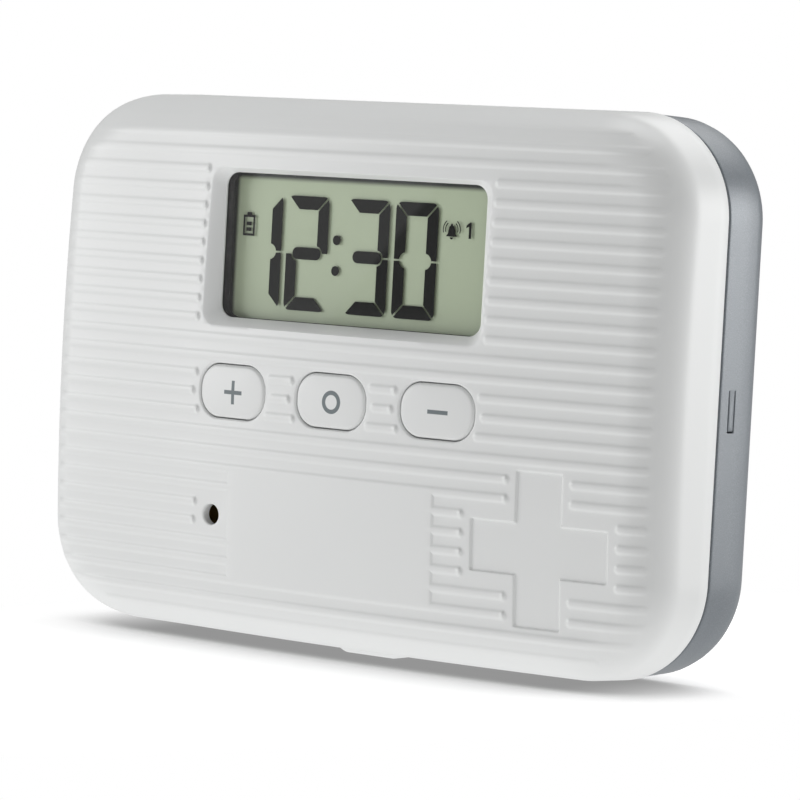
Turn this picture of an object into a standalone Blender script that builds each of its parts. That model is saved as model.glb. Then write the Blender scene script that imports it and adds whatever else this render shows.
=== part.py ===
"""Electronic pill box: a ribbed white lid with a clock display and three buttons on a grey pill tray.

X runs to the right, Y from the ribbed face to the plain back, Z up. The box stands on its long lower edge,
centred on X and Y with Z = 0 under the thumb lip, the way it is photographed. Lengths are in metres.
"""

import math

import bmesh
import bpy
from mathutils import Matrix

# Pitch of the ribs on the face. The face layout is counted in these pitches.
rib_pitch = 0.0026
rib_rise = 0.00055
rib_width = 0.0012
rib_round_segments = 2
rib_from_top = 0.004794
rib_from_bottom = 0.0025
rib_from_side = 0.00247
rib_from_side_second = 0.00403
rib_from_side_at_corner = 0.00949

# Outer body. The face is a shallow pillow whose highest point is the apex.
lid_half_width = 0.05265
lid_half_height = 0.0381
lip_drop = 0.00043
outline_mid_height = lid_half_height + lip_drop
apex_above_middle = 0.00039
apex_above_floor = outline_mid_height + apex_above_middle
first_rib_above_apex = lid_half_height - apex_above_middle - rib_from_top
rib_room = 2 * lid_half_height - rib_from_top - rib_from_bottom - rib_width
rib_count = 1 + int(rib_room / rib_pitch)
outline_corner = 0.0143
outline_corner_segments = 6
outline_long_segments = 4
outline_short_segments = 2
lid_draft = 0.0003
edge_round = 0.0057
edge_round_segments = 4
crown_drop_side = 0.00307
crown_drop_side_at = 0.0468
crown_drop_top = 0.0017
crown_drop_top_at = 0.0364
crown_ring_shares = (0.33, 0.51, 0.71, 0.88, 0.98)
least_ring_corner = 0.0004
lid_wall = 0.0015
box_depth = 0.0284
button_proud = 0.00075
parting_gap = 0.0003
past_surface = 0.002
fit_gap = 0.0003
seat_gap = 0.0001
flat_angle = math.radians(0.4)
plain_corner_segments = 5

# Display window, measured from the apex.
window_half_width = 8.66 * rib_pitch
window_low = 2.5 * rib_pitch
window_high = 10.3 * rib_pitch
window_corner = 0.0017
window_depth = 0.0026
window_side_slope = 1.26 * rib_pitch
window_top_slope = 0.38 * rib_pitch
window_bottom_slope = 0.5 * rib_pitch
window_rim_corner = 0.003
window_lip = 0.00025
window_block_margin = 0.0037
window_block_depth = 0.0039
lens_margin = 0.0013
lens_thickness = 0.001
display_clear = 9.6 * rib_pitch

# Push buttons: three alike, the middle one at the centre.
button_spacing = 6.9 * rib_pitch
button_height_at = -1.45 * rib_pitch
button_hole_half_width = 0.00615
button_hole_half_height = 0.00385
button_hole_corner = 0.0035
button_corner_segments = 5
button_edge_round = 0.0005
button_edge_steps = 3
button_flange = 0.0009
button_flange_thickness = 0.0008
button_stem_half_width = 0.0018
button_travel = 0.0008
button_press_room = 0.0002
button_clear_half_width = 2.77 * rib_pitch
button_clear_radius = 1.9 * rib_pitch

# Sound hole, plain label field and recessed cross, set out in the room below the buttons.
room_high = button_height_at - button_hole_half_height - button_flange
room_low = -lid_half_height - apex_above_middle
room_middle = (room_high + room_low) / 2
sound_hole_x = -8.2 * rib_pitch
sound_hole_rise = 0.00226
sound_hole_at = (sound_hole_x, room_middle + sound_hole_rise)
sound_hole_radius = 0.00143
sound_hole_clear = 1.25 * rib_pitch
label_half_width = 6.93 * rib_pitch
label_row_count = 7
label_last_row = rib_count - 3
label_first_row = label_last_row - label_row_count + 1
cross_shift = -0.000806
cross_rise = 0.002497
cross_at = ((label_half_width + lid_half_width) / 2 + cross_shift, room_middle + cross_rise)
cross_arm = 2.672 * rib_pitch
cross_depth = 0.0005
cross_clear = 0.5 * rib_pitch

# Thumb lip under the lid, and the hook behind it that holds the lid shut.
lip_half_width = 0.0056
lip_depth = 0.0046
lip_side_slope = 0.0012
hook_half_width = 0.004
hook_reach = 0.0022
hook_thickness = 0.0011
hook_root = 0.0015

# Hinge along the top edge.
hinge_behind_parting = 0.006
hinge_below_top = 0.0019
hinge_pin_radius = 0.00075
hinge_bore_radius = 0.00083
hinge_segments = 24
ear_radius = 0.0017
ear_half_width = 0.003
ear_from_side = 0.02465
ear_at = lid_half_width - ear_from_side
ear_root = 0.0018
lug_width = 0.003
lug_depth = 0.0021
lug_drop = 0.0019
notch_gap = 0.0004
notch_rear_rise = 0.0006
pin_end_gap = 0.0004

# Back shell.
shell_inset = 0.00015
shell_draft = 0.00025
shell_round = 0.004
shell_wall = 0.0015
shell_back = 0.0016
tongue_low = -1.62 * rib_pitch
tongue_high = 0.53 * rib_pitch
tongue_behind_rim = 0.00244
tongue_depth = 1.13 * rib_pitch
tongue_slot = 0.0004

# Pill tray that drops into the shell.
tray_gap = 0.0004
tray_wall = 0.0012
tray_floor = 0.0012
tray_rise = 0.001
tray_below_hinge = 0.0027
tray_hook_room = 0.0016
tray_corner = 0.0105
tray_round = shell_round - shell_wall - tray_gap
compartment_corner = 0.003
compartment_corner_segments = 4
column_count = 2
row_count = 2

# Works inside the lid, as depths behind the apex.
frame_front = 0.0042
frame_rear = 0.0075
frame_wall = 0.0006
panel_front = 0.0048
panel_rear = 0.0066
panel_margin = 0.001
frame_margin = panel_margin + fit_gap + frame_wall
panel_corner = 0.0006
panel_foot = 0.0008
connector_front = 0.0068
connector_rear = 0.0077
connector_height = 0.0018
board_front = 0.0079
board_rear = 0.0091
keypad_front = 0.007
keypad_rear = 0.0077
keypad_half_height = 0.0052
keypad_corner = 0.002
board_edge_room = 0.0066
board_low = board_edge_room - lid_half_height
board_high = lid_half_height - board_edge_room
board_corner = 0.002
board_boss_radius = 0.0024
board_boss_end = 0.0076
board_boss_beside_button = 0.00111
board_screw_height = -0.0045
outer_button_reach = button_spacing + button_hole_half_width + button_flange
board_boss_near = outer_button_reach + board_boss_beside_button
board_screw_at = (board_boss_near + board_boss_radius, board_screw_height)
board_screw_from_edge = 0.003
keypad_end_gap = 0.0006
keypad_half_width = board_boss_near - keypad_end_gap
board_half_width = board_screw_at[0] + board_screw_from_edge
dome_top = 0.0062
button_stem_end = dome_top - button_travel - button_press_room
dome_top_radius = 0.0016
dome_foot_radius = 0.003
dome_segments = 12
buzzer_radius = 0.0075
buzzer_front = 0.0046
buzzer_brass = 0.00025
buzzer_ceramic = 0.00055
buzzer_ceramic_radius = 0.0054
buzzer_ring_wall = 0.0011
buzzer_ring_end = 0.0058
chip_above_apex = 0.014
chip_radius = 0.0065
chip_height = 0.0014
crystal_left = 0.016
crystal_above_apex = 0.002
crystal_radius = 0.001
crystal_length = 0.006
cell_radius = 0.01
cell_height = -0.0154
door_boss_beside_board = 0.0016
door_screw_beside_cell = 0.0042
door_screw_x = board_half_width + door_boss_beside_board + board_boss_radius
door_screw_at = (door_screw_x, cell_height)
cell_at = (door_screw_x - door_screw_beside_cell - cell_radius, cell_height)
cell_thickness = 0.0025
cell_front = 0.0097
cell_rear = cell_front + cell_thickness
cell_step = 0.0008
contact_half_width = 0.003
contact_half_length = 0.006
contact_thickness = 0.00025
contact_lift = 0.0001
clip_half_width = 0.004
clip_thickness = 0.0003
clip_foot = 0.0022

# Inner cover, battery door and screws. What the lid holds sets the lid's depth.
cell_room = 0.0005
inner_thickness = 0.0016
inner_set_back = 0.00198
inner_front = cell_rear + cell_room
inner_rear = inner_front + inner_thickness
inner_gap = 0.0004
lid_depth = inner_rear + inner_set_back
lid_rear = lid_depth - parting_gap / 2
door_beside_cell = 0.0028
door_screw_room = 0.0072
door_below_cell = 0.001
door_above_cell = 0.0015
door_low = (cell_at[0] - cell_radius - door_beside_cell, cell_at[1] - cell_radius - door_below_cell)
door_high = (cell_at[0] + cell_radius + door_screw_room, cell_at[1] + cell_radius + door_above_cell)
door_corner = 0.0015
door_tab_reach = 0.0018
door_tab_half_height = 0.0022
door_tab_thickness = 0.0005
door_tab_drop = 0.0007
screw_from_side = 0.009
screw_from_end = 0.0096
screw_at = (lid_half_width - screw_from_side, lid_half_height - screw_from_end)
screw_boss_radius = 0.003
screw_boss_end = 0.0124
screw_pilot_radius = 0.0012
screw_pilot_end = 0.0062
screw_shank_radius = 0.0009
screw_shank_end = 0.0068
screw_clearance_radius = 0.0013
screw_head_radius = 0.0021
screw_head_height = 0.0007
screw_head_seat = 0.0008
screw_recess_depth = 0.0004
screw_recess_half_width = 0.00025
screw_recess_reach = 0.0012
screw_segments = 16
board_screw_head_height = 0.0009
round_segments = 24
ring_segments = 32

# Finishes: colour, roughness and metallic value.
white_plastic = ((0.83, 0.84, 0.83), 0.4, 0.0)
button_plastic = ((0.8, 0.81, 0.8), 0.42, 0.0)
inner_plastic = ((0.81, 0.82, 0.81), 0.45, 0.0)
tray_plastic = ((0.86, 0.88, 0.88), 0.3, 0.0)
shell_paint = ((0.36, 0.39, 0.42), 0.38, 0.35)
clear_plastic = ((0.9, 0.93, 0.9), 0.05, 0.0)
black_plastic = ((0.05, 0.05, 0.055), 0.5, 0.0)
display_glass = ((0.38, 0.45, 0.33), 0.25, 0.0)
connector_rubber = ((0.75, 0.35, 0.4), 0.6, 0.0)
board_green = ((0.03, 0.22, 0.1), 0.4, 0.0)
black_resin = ((0.02, 0.02, 0.022), 0.35, 0.0)
grey_silicone = ((0.55, 0.56, 0.58), 0.7, 0.0)
bright_steel = ((0.7, 0.7, 0.72), 0.25, 1.0)
spring_brass = ((0.75, 0.58, 0.24), 0.3, 1.0)

middle_button_drop = crown_drop_top * (button_height_at / crown_drop_top_at) ** 2
apex_y = button_proud - middle_button_drop - box_depth / 2
parting_y = apex_y + lid_depth
back_y = box_depth / 2
hinge_y = parting_y + hinge_behind_parting
hinge_z = outline_mid_height + lid_half_height - hinge_below_top
rib_rows = range(rib_count)


def collection_named(name):
    found = bpy.data.collections.new(name)
    bpy.context.scene.collection.children.link(found)
    return found


for leftover in list(bpy.data.objects):
    bpy.data.objects.remove(leftover, do_unlink=True)

model = collection_named("electronic_pill_box")
cutters = collection_named("cutters")
cutters.hide_render = True


def mesh_object(name, shape, where):
    """An object from one shape, a pair of points and faces, in triangles that face outwards."""
    mesh = bpy.data.meshes.new(name)
    mesh.from_pydata(shape[0], [], shape[1])
    work = bmesh.new()
    work.from_mesh(mesh)
    bmesh.ops.recalc_face_normals(work, faces=work.faces)
    bmesh.ops.triangulate(work, faces=work.faces)
    work.to_mesh(mesh)
    work.free()
    found = bpy.data.objects.new(name, mesh)
    where.objects.link(found)
    return found


def piece(name, shape, finish, clear_share=0.0):
    """A visible piece with a material of its own."""
    colour, roughness, metallic = finish
    found = mesh_object(name, shape, model)
    paint = bpy.data.materials.new(name)
    paint.use_nodes = True
    shader = paint.node_tree.nodes["Principled BSDF"]
    shader.inputs["Base Color"].default_value = (*colour, 1.0)
    shader.inputs["Roughness"].default_value = roughness
    shader.inputs["Metallic"].default_value = metallic
    shader.inputs["Transmission Weight"].default_value = clear_share
    found.data.materials.append(paint)
    return found


def helper(name, shape):
    """A hidden shape that only adds to or cuts from other pieces."""
    found = mesh_object(name, shape, cutters)
    found.display_type = "WIRE"
    found.hide_render = True
    return found


def combine(target, tool, operation):
    step = target.modifiers.new(tool.name, "BOOLEAN")
    step.operation = operation
    step.solver = "EXACT"
    step.object = tool


def joint_empty(name, place):
    found = bpy.data.objects.new(name, None)
    found.location = place
    model.objects.link(found)
    return found


def hang(found, empty):
    """Ties a piece, with the hidden shapes that form it, to the empty on its joint's axis."""
    found.parent = empty
    found.matrix_parent_inverse = Matrix.Translation(empty.location).inverted()
    for step in found.modifiers:
        if step.type == "BOOLEAN":
            hang(step.object, empty)


def merge_flat(target):
    """Joins the faces that lie in one plane once all the cuts are made."""
    step = target.modifiers.new("flat faces", "DECIMATE")
    step.decimate_type = "DISSOLVE"
    step.angle_limit = flat_angle


def joined(shapes):
    """Several shapes that don't touch, as one."""
    points = []
    faces = []
    for some_points, some_faces in shapes:
        start = len(points)
        points += some_points
        faces += [[start + index for index in face] for face in some_faces]
    return points, faces


def lofted(rings):
    """A solid skinned over rings of equally many points, closed at both ends."""
    count = len(rings[0])
    points = [point for ring in rings for point in ring]
    faces = [list(range(count)), [count * (len(rings) - 1) + index for index in range(count)]]
    for level in range(len(rings) - 1):
        for index in range(count):
            near = level * count + index
            beside = level * count + (index + 1) % count
            faces.append([near, beside, beside + count, near + count])
    return points, faces


def ring_at(outline, depth):
    """An outline in X and Z, placed at this depth behind the apex."""
    return [(x, apex_y + depth, z) for x, z in outline]


def prism(outline, front, rear):
    """An outline in X and Z as a solid between two depths behind the apex."""
    return lofted([ring_at(outline, front), ring_at(outline, rear)])


def box(low, high):
    outline = [(low[0], low[2]), (high[0], low[2]), (high[0], high[2]), (low[0], high[2])]
    return lofted([[(x, low[1], z) for x, z in outline], [(x, high[1], z) for x, z in outline]])


def circle(centre, radius, segments):
    turn = 2 * math.pi / segments
    return [
        (centre[0] + radius * math.cos(turn * index), centre[1] + radius * math.sin(turn * index))
        for index in range(segments)
    ]


def turned(centre, levels, segments):
    """A turned solid on an axis along Y, from pairs of depth and radius."""
    return lofted([ring_at(circle(centre, radius, segments), depth) for depth, radius in levels])


def tube(centre, inner, outer, front, rear, segments):
    """A ring of rectangular section on an axis along Y."""
    loops = [(outer, front), (outer, rear), (inner, rear), (inner, front)]
    points = []
    for radius, depth in loops:
        points += ring_at(circle(centre, radius, segments), depth)
    faces = []
    for level in range(len(loops)):
        for index in range(segments):
            near = level * segments + index
            beside = level * segments + (index + 1) % segments
            after = (level + 1) % len(loops) * segments
            faces.append([near, beside, after + (index + 1) % segments, after + index])
    return points, faces


def rod_along_x(start, end, y, z, radius, segments):
    ends = []
    for x in (start, end):
        ends.append([(x, y + across, z + up) for across, up in circle((0, 0), radius, segments)])
    return lofted(ends)


def between(start, end, parts):
    """Points from start up to but not including end."""
    return [
        (start[0] + (end[0] - start[0]) * index / parts, start[1] + (end[1] - start[1]) * index / parts)
        for index in range(parts)
    ]


def rounded(half_width, half_height, corner, centre, segments=plain_corner_segments, along=1, up=1):
    """A rectangle with rounded corners, counterclockwise, its straight sides in equal parts."""
    corner = max(corner, least_ring_corner)
    x_reach = half_width - corner
    z_reach = half_height - corner
    outline = []
    for quarter, (side_x, side_z) in enumerate(((1, 1), (-1, 1), (-1, -1), (1, -1))):
        middle = (centre[0] + side_x * x_reach, centre[1] + side_z * z_reach)
        for index in range(segments):
            angle = (quarter + index / segments) * math.pi / 2
            outline.append((middle[0] + corner * math.cos(angle), middle[1] + corner * math.sin(angle)))
        angle = (quarter + 1) * math.pi / 2
        end = (middle[0] + corner * math.cos(angle), middle[1] + corner * math.sin(angle))
        travel = (-2 * x_reach, 0) if quarter == 0 else (0, -2 * z_reach)
        if quarter > 1:
            travel = (2 * x_reach, 0) if quarter == 2 else (0, 2 * z_reach)
        parts = up if quarter % 2 else along
        outline += between(end, (end[0] + travel[0], end[1] + travel[1]), parts)
    return outline


def crown(x, z):
    """Depth of the pillow surface behind the apex, with z measured from the apex."""
    side_share = x / crown_drop_side_at
    top_share = z / crown_drop_top_at
    return crown_drop_side * side_share**2 + crown_drop_top * top_share**2


def body_outline(inset):
    return rounded(
        lid_half_width - inset,
        lid_half_height - inset,
        outline_corner - inset,
        (0, outline_mid_height),
        outline_corner_segments,
        outline_long_segments,
        outline_short_segments,
    )


def crowned_ring(inset, depth):
    return [
        (x, apex_y + depth + crown(x, z - apex_above_floor), z) for x, z in body_outline(inset)
    ]


def pillow(inset, depth, radius, rear):
    """The lid's outer form taken in by inset and back by depth: side wall, rounded edge and crowned face."""
    rings = [ring_at(body_outline(inset), rear)]
    for step in range(edge_round_segments + 1):
        angle = math.pi / 2 * (1 - step / edge_round_segments)
        taken_in = inset + lid_draft + radius * (1 - math.sin(angle))
        rings.append(crowned_ring(taken_in, depth + radius * (1 - math.cos(angle))))
    for share in crown_ring_shares:
        rings.append(crowned_ring(lid_half_height * share, depth))
    return lofted(rings)


def rib_top(row):
    """Height of a rib's upper edge above the floor."""
    return apex_above_floor + first_rib_above_apex - row * rib_pitch


def rib_limit(row):
    """How far a rib runs from the middle before the rounded edge takes it."""
    from_end = min(row, rib_count - 1 - row)
    if from_end == 0:
        return lid_half_width - rib_from_side_at_corner
    return lid_half_width - (rib_from_side_second if from_end == 1 else rib_from_side)


def clear_spans(row):
    """The stretches of this row that stay smooth, as pairs of X."""
    middle = rib_top(row) - rib_width / 2 - apex_above_floor
    spans = []
    if window_low - rib_pitch < middle < window_high + rib_pitch / 2:
        spans.append((-display_clear, display_clear))
    off_button = middle - button_height_at
    if abs(off_button) < button_clear_radius - rib_width / 2:
        reach = math.sqrt(button_clear_radius**2 - off_button**2)
        half = button_clear_half_width - button_clear_radius + reach
        spans += [(x - half, x + half) for x in (-button_spacing, 0, button_spacing)]
    off_hole = middle - sound_hole_at[1]
    if abs(off_hole) < sound_hole_clear - rib_width / 2:
        reach = math.sqrt(sound_hole_clear**2 - off_hole**2)
        spans.append((sound_hole_at[0] - reach, -label_half_width))
    off_cross = abs(middle - cross_at[1])
    if off_cross < cross_arm * 3 / 2:
        half = cross_arm * 3 / 2 if off_cross < cross_arm / 2 + cross_clear else cross_arm / 2
        half += cross_clear
        spans.append((cross_at[0] - half, cross_at[0] + half))
    return spans


def rib_runs(row):
    """The stretches of this row that are raised and longer than the rib is wide."""
    start = -rib_limit(row)
    runs = []
    for low, high in sorted(clear_spans(row)):
        runs.append((start, low))
        start = high
    runs.append((start, rib_limit(row)))
    return [run for run in runs if run[1] - run[0] > rib_width]


def round_end(x, top, direction):
    """The end of a rib as a half circle, downwards on the right and upwards on the left."""
    radius = rib_width / 2
    centre = (x - direction * radius, top - radius)
    steps = range(rib_round_segments + 1)
    angles = [direction * (math.pi / 2 - math.pi * step / rib_round_segments) for step in steps]
    return [
        (centre[0] + direction * radius * math.cos(angle), centre[1] + radius * math.sin(angle))
        for angle in angles
    ]


def rib_outlines():
    """Every rib that stands alone."""
    outlines = []
    for row in rib_rows:
        for low, high in rib_runs(row):
            in_label = label_first_row <= row <= label_last_row
            if in_label and low <= -label_half_width <= high:
                continue
            if in_label and low <= label_half_width <= high:
                continue
            outlines.append(round_end(high, rib_top(row), 1) + round_end(low, rib_top(row), -1))
    return outlines


def label_outline():
    """The plain field with the ribs that run into it, as one comb."""
    right = []
    left = []
    for row in range(label_first_row, label_last_row + 1):
        top = rib_top(row)
        ends = [run for run in rib_runs(row) if run[0] <= label_half_width < run[1] - rib_width / 2]
        if ends:
            if row > label_first_row:
                right.append((label_half_width, top))
            right += round_end(ends[0][1], top, 1)
            if row < label_last_row:
                right.append((label_half_width, top - rib_width))
        starts = [run for run in rib_runs(row) if run[0] <= -label_half_width < run[1]]
        starts = [run for run in starts if run[0] < -label_half_width]
        part = []
        if starts:
            if row < label_last_row:
                part.append((-label_half_width, top - rib_width))
            part += round_end(starts[0][0], top, -1)
            if row > label_first_row:
                part.append((-label_half_width, top))
        left = part + left
    return right + left


def cross_at_place(place, half, reach):
    """A square cross from the half width and the reach of its arms."""
    outline = []
    for side_x, side_z in ((1, 1), (-1, 1), (-1, -1), (1, -1)):
        arm_x = (place[0] + side_x * reach, place[1] + side_z * half)
        inner = (place[0] + side_x * half, place[1] + side_z * half)
        arm_z = (place[0] + side_x * half, place[1] + side_z * reach)
        outline += [arm_x, inner, arm_z] if side_x == side_z else [arm_z, inner, arm_x]
    return outline


def window_outline(grow_side, grow_top, grow_bottom, corner):
    """The display opening grown by these amounts."""
    low = window_low - grow_bottom
    high = window_high + grow_top
    centre = (0, apex_above_floor + (low + high) / 2)
    return rounded(window_half_width + grow_side, (high - low) / 2, corner, centre, button_corner_segments)


def button_outline(x, shrink):
    centre = (x, apex_above_floor + button_height_at)
    return rounded(
        button_hole_half_width - shrink,
        button_hole_half_height - shrink,
        button_hole_corner - shrink,
        centre,
        button_corner_segments,
    )


def button_places():
    return zip(("hour", "mode", "minute"), (-button_spacing, 0, button_spacing))


def screw_places():
    """The four lid screws, counted clockwise from the upper left as seen from behind."""
    for side in (1, -1):
        for end in (1, -1):
            yield (side * screw_at[0], outline_mid_height + end * screw_at[1])


def board_screw_places():
    for side in (-1, 1):
        yield (side * board_screw_at[0], apex_above_floor + board_screw_at[1])


def from_apex(place):
    return (place[0], apex_above_floor + place[1])


def lid_posts():
    """What is left standing inside the lid: the display surround, screw bosses and buzzer ring."""
    before = -past_surface
    surround = window_outline(
        window_block_margin, window_block_margin, window_block_margin, window_corner
    )
    shapes = [prism(surround, before, window_block_depth)]
    for place in screw_places():
        ends = [(before, screw_boss_radius), (screw_boss_end, screw_boss_radius)]
        shapes.append(turned(place, ends, screw_segments))
    door_place = from_apex(door_screw_at)
    ends = [(before, board_boss_radius), (screw_boss_end, board_boss_radius)]
    shapes.append(turned(door_place, ends, screw_segments))
    for place in board_screw_places():
        ends = [(before, board_boss_radius), (board_boss_end, board_boss_radius)]
        shapes.append(turned(place, ends, screw_segments))
    inner = buzzer_radius + fit_gap
    place = from_apex(sound_hole_at)
    shapes.append(
        tube(place, inner, inner + buzzer_ring_wall, before, buzzer_ring_end, ring_segments)
    )
    return joined(shapes)


def lid_openings():
    """Everything cut through the lid: window, lens seat, button holes, sound hole and screw pilots."""
    outer = window_depth + past_surface
    share = outer / window_depth
    side = window_side_slope * share
    top = window_top_slope * share
    bottom = window_bottom_slope * share
    rings = [
        ring_at(window_outline(side, top, bottom, window_rim_corner), -past_surface),
        ring_at(window_outline(0, 0, 0, window_corner), window_depth),
        ring_at(window_outline(0, 0, 0, window_corner), window_depth + window_lip),
    ]
    seat = lens_margin + fit_gap
    rings.append(ring_at(window_outline(seat, seat, seat, window_corner), window_depth + window_lip))
    deep = window_block_depth + past_surface
    rings.append(ring_at(window_outline(seat, seat, seat, window_corner), deep))
    shapes = [lofted(rings)]
    for _, x in button_places():
        shapes.append(prism(button_outline(x, 0), -past_surface, button_stem_end))
    ends = [(-past_surface, sound_hole_radius), (buzzer_front - fit_gap, sound_hole_radius)]
    shapes.append(turned(from_apex(sound_hole_at), ends, screw_segments))
    for place in screw_places():
        ends = [(screw_pilot_end, screw_pilot_radius), (inner_front, screw_pilot_radius)]
        shapes.append(turned(place, ends, screw_segments))
    ends = [(screw_pilot_end, screw_pilot_radius), (inner_front, screw_pilot_radius)]
    shapes.append(turned(from_apex(door_screw_at), ends, screw_segments))
    for place in board_screw_places():
        ends = [(screw_pilot_end - fit_gap - lid_wall, screw_pilot_radius)]
        ends.append((board_front, screw_pilot_radius))
        shapes.append(turned(place, ends, screw_segments))
    return joined(shapes)


def hinge_ear(side):
    """One ear of the lid, reaching back round the hinge axis."""
    profile = [(parting_y - parting_gap / 2 - ear_root, hinge_z - ear_radius)]
    for step in range(hinge_segments // 2 + 1):
        angle = math.pi * (2 * step / hinge_segments - 1 / 2)
        profile.append((hinge_y + ear_radius * math.cos(angle), hinge_z + ear_radius * math.sin(angle)))
    profile.append((parting_y - parting_gap / 2 - ear_root, hinge_z + ear_radius))
    middle = side * ear_at
    sides = (middle - ear_half_width, middle + ear_half_width)
    return lofted([[(x, y, z) for y, z in profile] for x in sides])


def lip_shape():
    """The thumb lip: a low ridge under the lid's lower edge, sloped at its ends."""
    floor = outline_mid_height - lid_half_height
    rear = apex_y + lid_rear
    front = rear - lip_depth
    foot = lip_half_width - lip_side_slope
    seat = floor + seat_gap
    rings = []
    for y in (front, front + lip_drop, rear):
        drop = 0 if y == front else lip_drop
        outline = [(-lip_half_width, seat), (-foot, floor - drop), (foot, floor - drop)]
        outline += [(lip_half_width, seat), (lip_half_width, floor + lid_wall / 2)]
        outline.append((-lip_half_width, floor + lid_wall / 2))
        rings.append([(x, y, z + lid_draft * (1 if y == front else 0)) for x, z in outline])
    return lofted(rings)


def hook_shape():
    """A flat hook inside the lower edge that snaps behind the shell's rim."""
    inside = outline_mid_height - lid_half_height + shell_inset + shell_draft + shell_wall + fit_gap
    low = (-hook_half_width, parting_y - hook_root, inside - lid_wall / 2)
    high = (hook_half_width, parting_y - parting_gap, inside + hook_thickness)
    arm_low = (-hook_half_width + fit_gap, parting_y - hook_root + fit_gap, inside)
    arm_high = (hook_half_width - fit_gap, parting_y + hook_reach, inside + hook_thickness - seat_gap)
    return box(low, high), box(arm_low, arm_high)


def front_cover():
    cover = piece("front_cover", pillow(0, 0, edge_round, lid_rear), white_plastic)
    raised = helper("raised_level", pillow(0, -rib_rise, edge_round, lid_depth))
    deep = lid_depth / 2
    ribs = helper("ribs", joined([prism(outline, -past_surface, deep) for outline in rib_outlines()]))
    combine(ribs, raised, "INTERSECT")
    combine(cover, ribs, "UNION")
    label = helper("label_field", prism(label_outline(), -past_surface, deep))
    combine(label, raised, "INTERSECT")
    combine(cover, label, "UNION")
    sunk = helper("sunk_level", pillow(0, cross_depth, edge_round, lid_depth))
    outline = cross_at_place(from_apex(cross_at), cross_arm / 2, cross_arm * 3 / 2)
    cross = helper("cross", prism(outline, -past_surface, deep / 2))
    combine(cross, sunk, "DIFFERENCE")
    combine(cover, cross, "DIFFERENCE")
    inside = pillow(lid_wall, lid_wall, edge_round - lid_wall, lid_depth + past_surface)
    hollow = helper("lid_hollow", inside)
    combine(hollow, helper("lid_posts", lid_posts()), "DIFFERENCE")
    combine(cover, hollow, "DIFFERENCE")
    combine(cover, helper("lid_openings", lid_openings()), "DIFFERENCE")
    for side, name in ((-1, "left"), (1, "right")):
        combine(cover, helper(f"hinge_ear_{name}", hinge_ear(side)), "UNION")
    combine(cover, helper("thumb_lip", lip_shape()), "UNION")
    root, arm = hook_shape()
    combine(cover, helper("hook_root", root), "UNION")
    combine(cover, helper("hook_arm", arm), "UNION")
    reach = ear_at + ear_half_width + past_surface
    bore = rod_along_x(-reach, reach, hinge_y, hinge_z, hinge_bore_radius, hinge_segments)
    combine(cover, helper("ear_bore", bore), "DIFFERENCE")
    merge_flat(cover)
    return [cover]


def shell_body(inset, depth_inset, radius):
    front = lid_depth + parting_gap / 2
    rear = apex_to_back() - depth_inset
    rings = [ring_at(body_outline(shell_inset + inset), front - (past_surface if inset else 0))]
    taken_in = shell_inset + inset + shell_draft
    rings += round_rear(lambda further: body_outline(taken_in + further), rear, radius)
    return lofted(rings)


def round_rear(outline_at, rear, radius):
    """Rings of a rounded rear edge, from an outline that is given for each inset."""
    rings = []
    for step in range(edge_round_segments + 1):
        angle = math.pi / 2 * step / edge_round_segments
        outline = outline_at(radius * (1 - math.cos(angle)))
        rings.append(ring_at(outline, rear - radius * (1 - math.sin(angle))))
    return rings


def apex_to_back():
    return back_y - apex_y


def tongue_cuts():
    """The U-shaped slots that free a springy tongue in each end wall."""
    shapes = []
    low = apex_above_floor + tongue_low
    high = apex_above_floor + tongue_high
    front = parting_y + tongue_behind_rim
    rear = front + tongue_depth
    inner = lid_half_width - shell_inset - shell_wall - past_surface
    outer = lid_half_width + past_surface
    for side in (-1, 1):
        near = min(side * inner, side * outer)
        far = max(side * inner, side * outer)
        outline = [(front, high), (front, low), (rear, low), (rear, high)]
        outline += [(rear - tongue_slot, high), (rear - tongue_slot, low + tongue_slot)]
        outline += [(front + tongue_slot, low + tongue_slot), (front + tongue_slot, high)]
        shapes.append(lofted([[(x, y, z) for y, z in outline] for x in (near, far)]))
    return joined(shapes)


def lug_shapes():
    """Pairs of lugs on the shell that carry the hinge pins."""
    shapes = []
    for side in (-1, 1):
        for edge in (-1, 1):
            near = side * ear_at + edge * (ear_half_width + notch_gap)
            far = near + edge * lug_width
            top = hinge_z + hinge_below_top - shell_wall / 2 - shell_inset
            low = (min(near, far), hinge_y - lug_depth, hinge_z - lug_drop)
            high = (max(near, far), back_y - shell_back / 2, top)
            shapes.append(box(low, high))
    return shapes


def notch_shapes():
    """Notches in the shell's top wall that let the lid's ears swing."""
    shapes = []
    half = ear_half_width + notch_gap
    for side in (-1, 1):
        middle = side * ear_at
        low = (middle - half, parting_y - past_surface, hinge_z - ear_radius - notch_gap)
        high = (middle + half, hinge_y + ear_radius + notch_gap, hinge_z + ear_radius + past_surface)
        shapes.append(box(low, high))
    return shapes


def rear_notch_shapes():
    """The notches go on over the top of the back wall, so the ears clear it when open."""
    shapes = []
    half = ear_half_width + notch_gap
    for side in (-1, 1):
        middle = side * ear_at
        low = (middle - half, hinge_y, hinge_z + notch_rear_rise)
        high = (middle + half, back_y + past_surface, hinge_z + ear_radius + past_surface)
        shapes.append(box(low, high))
    return shapes


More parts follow.
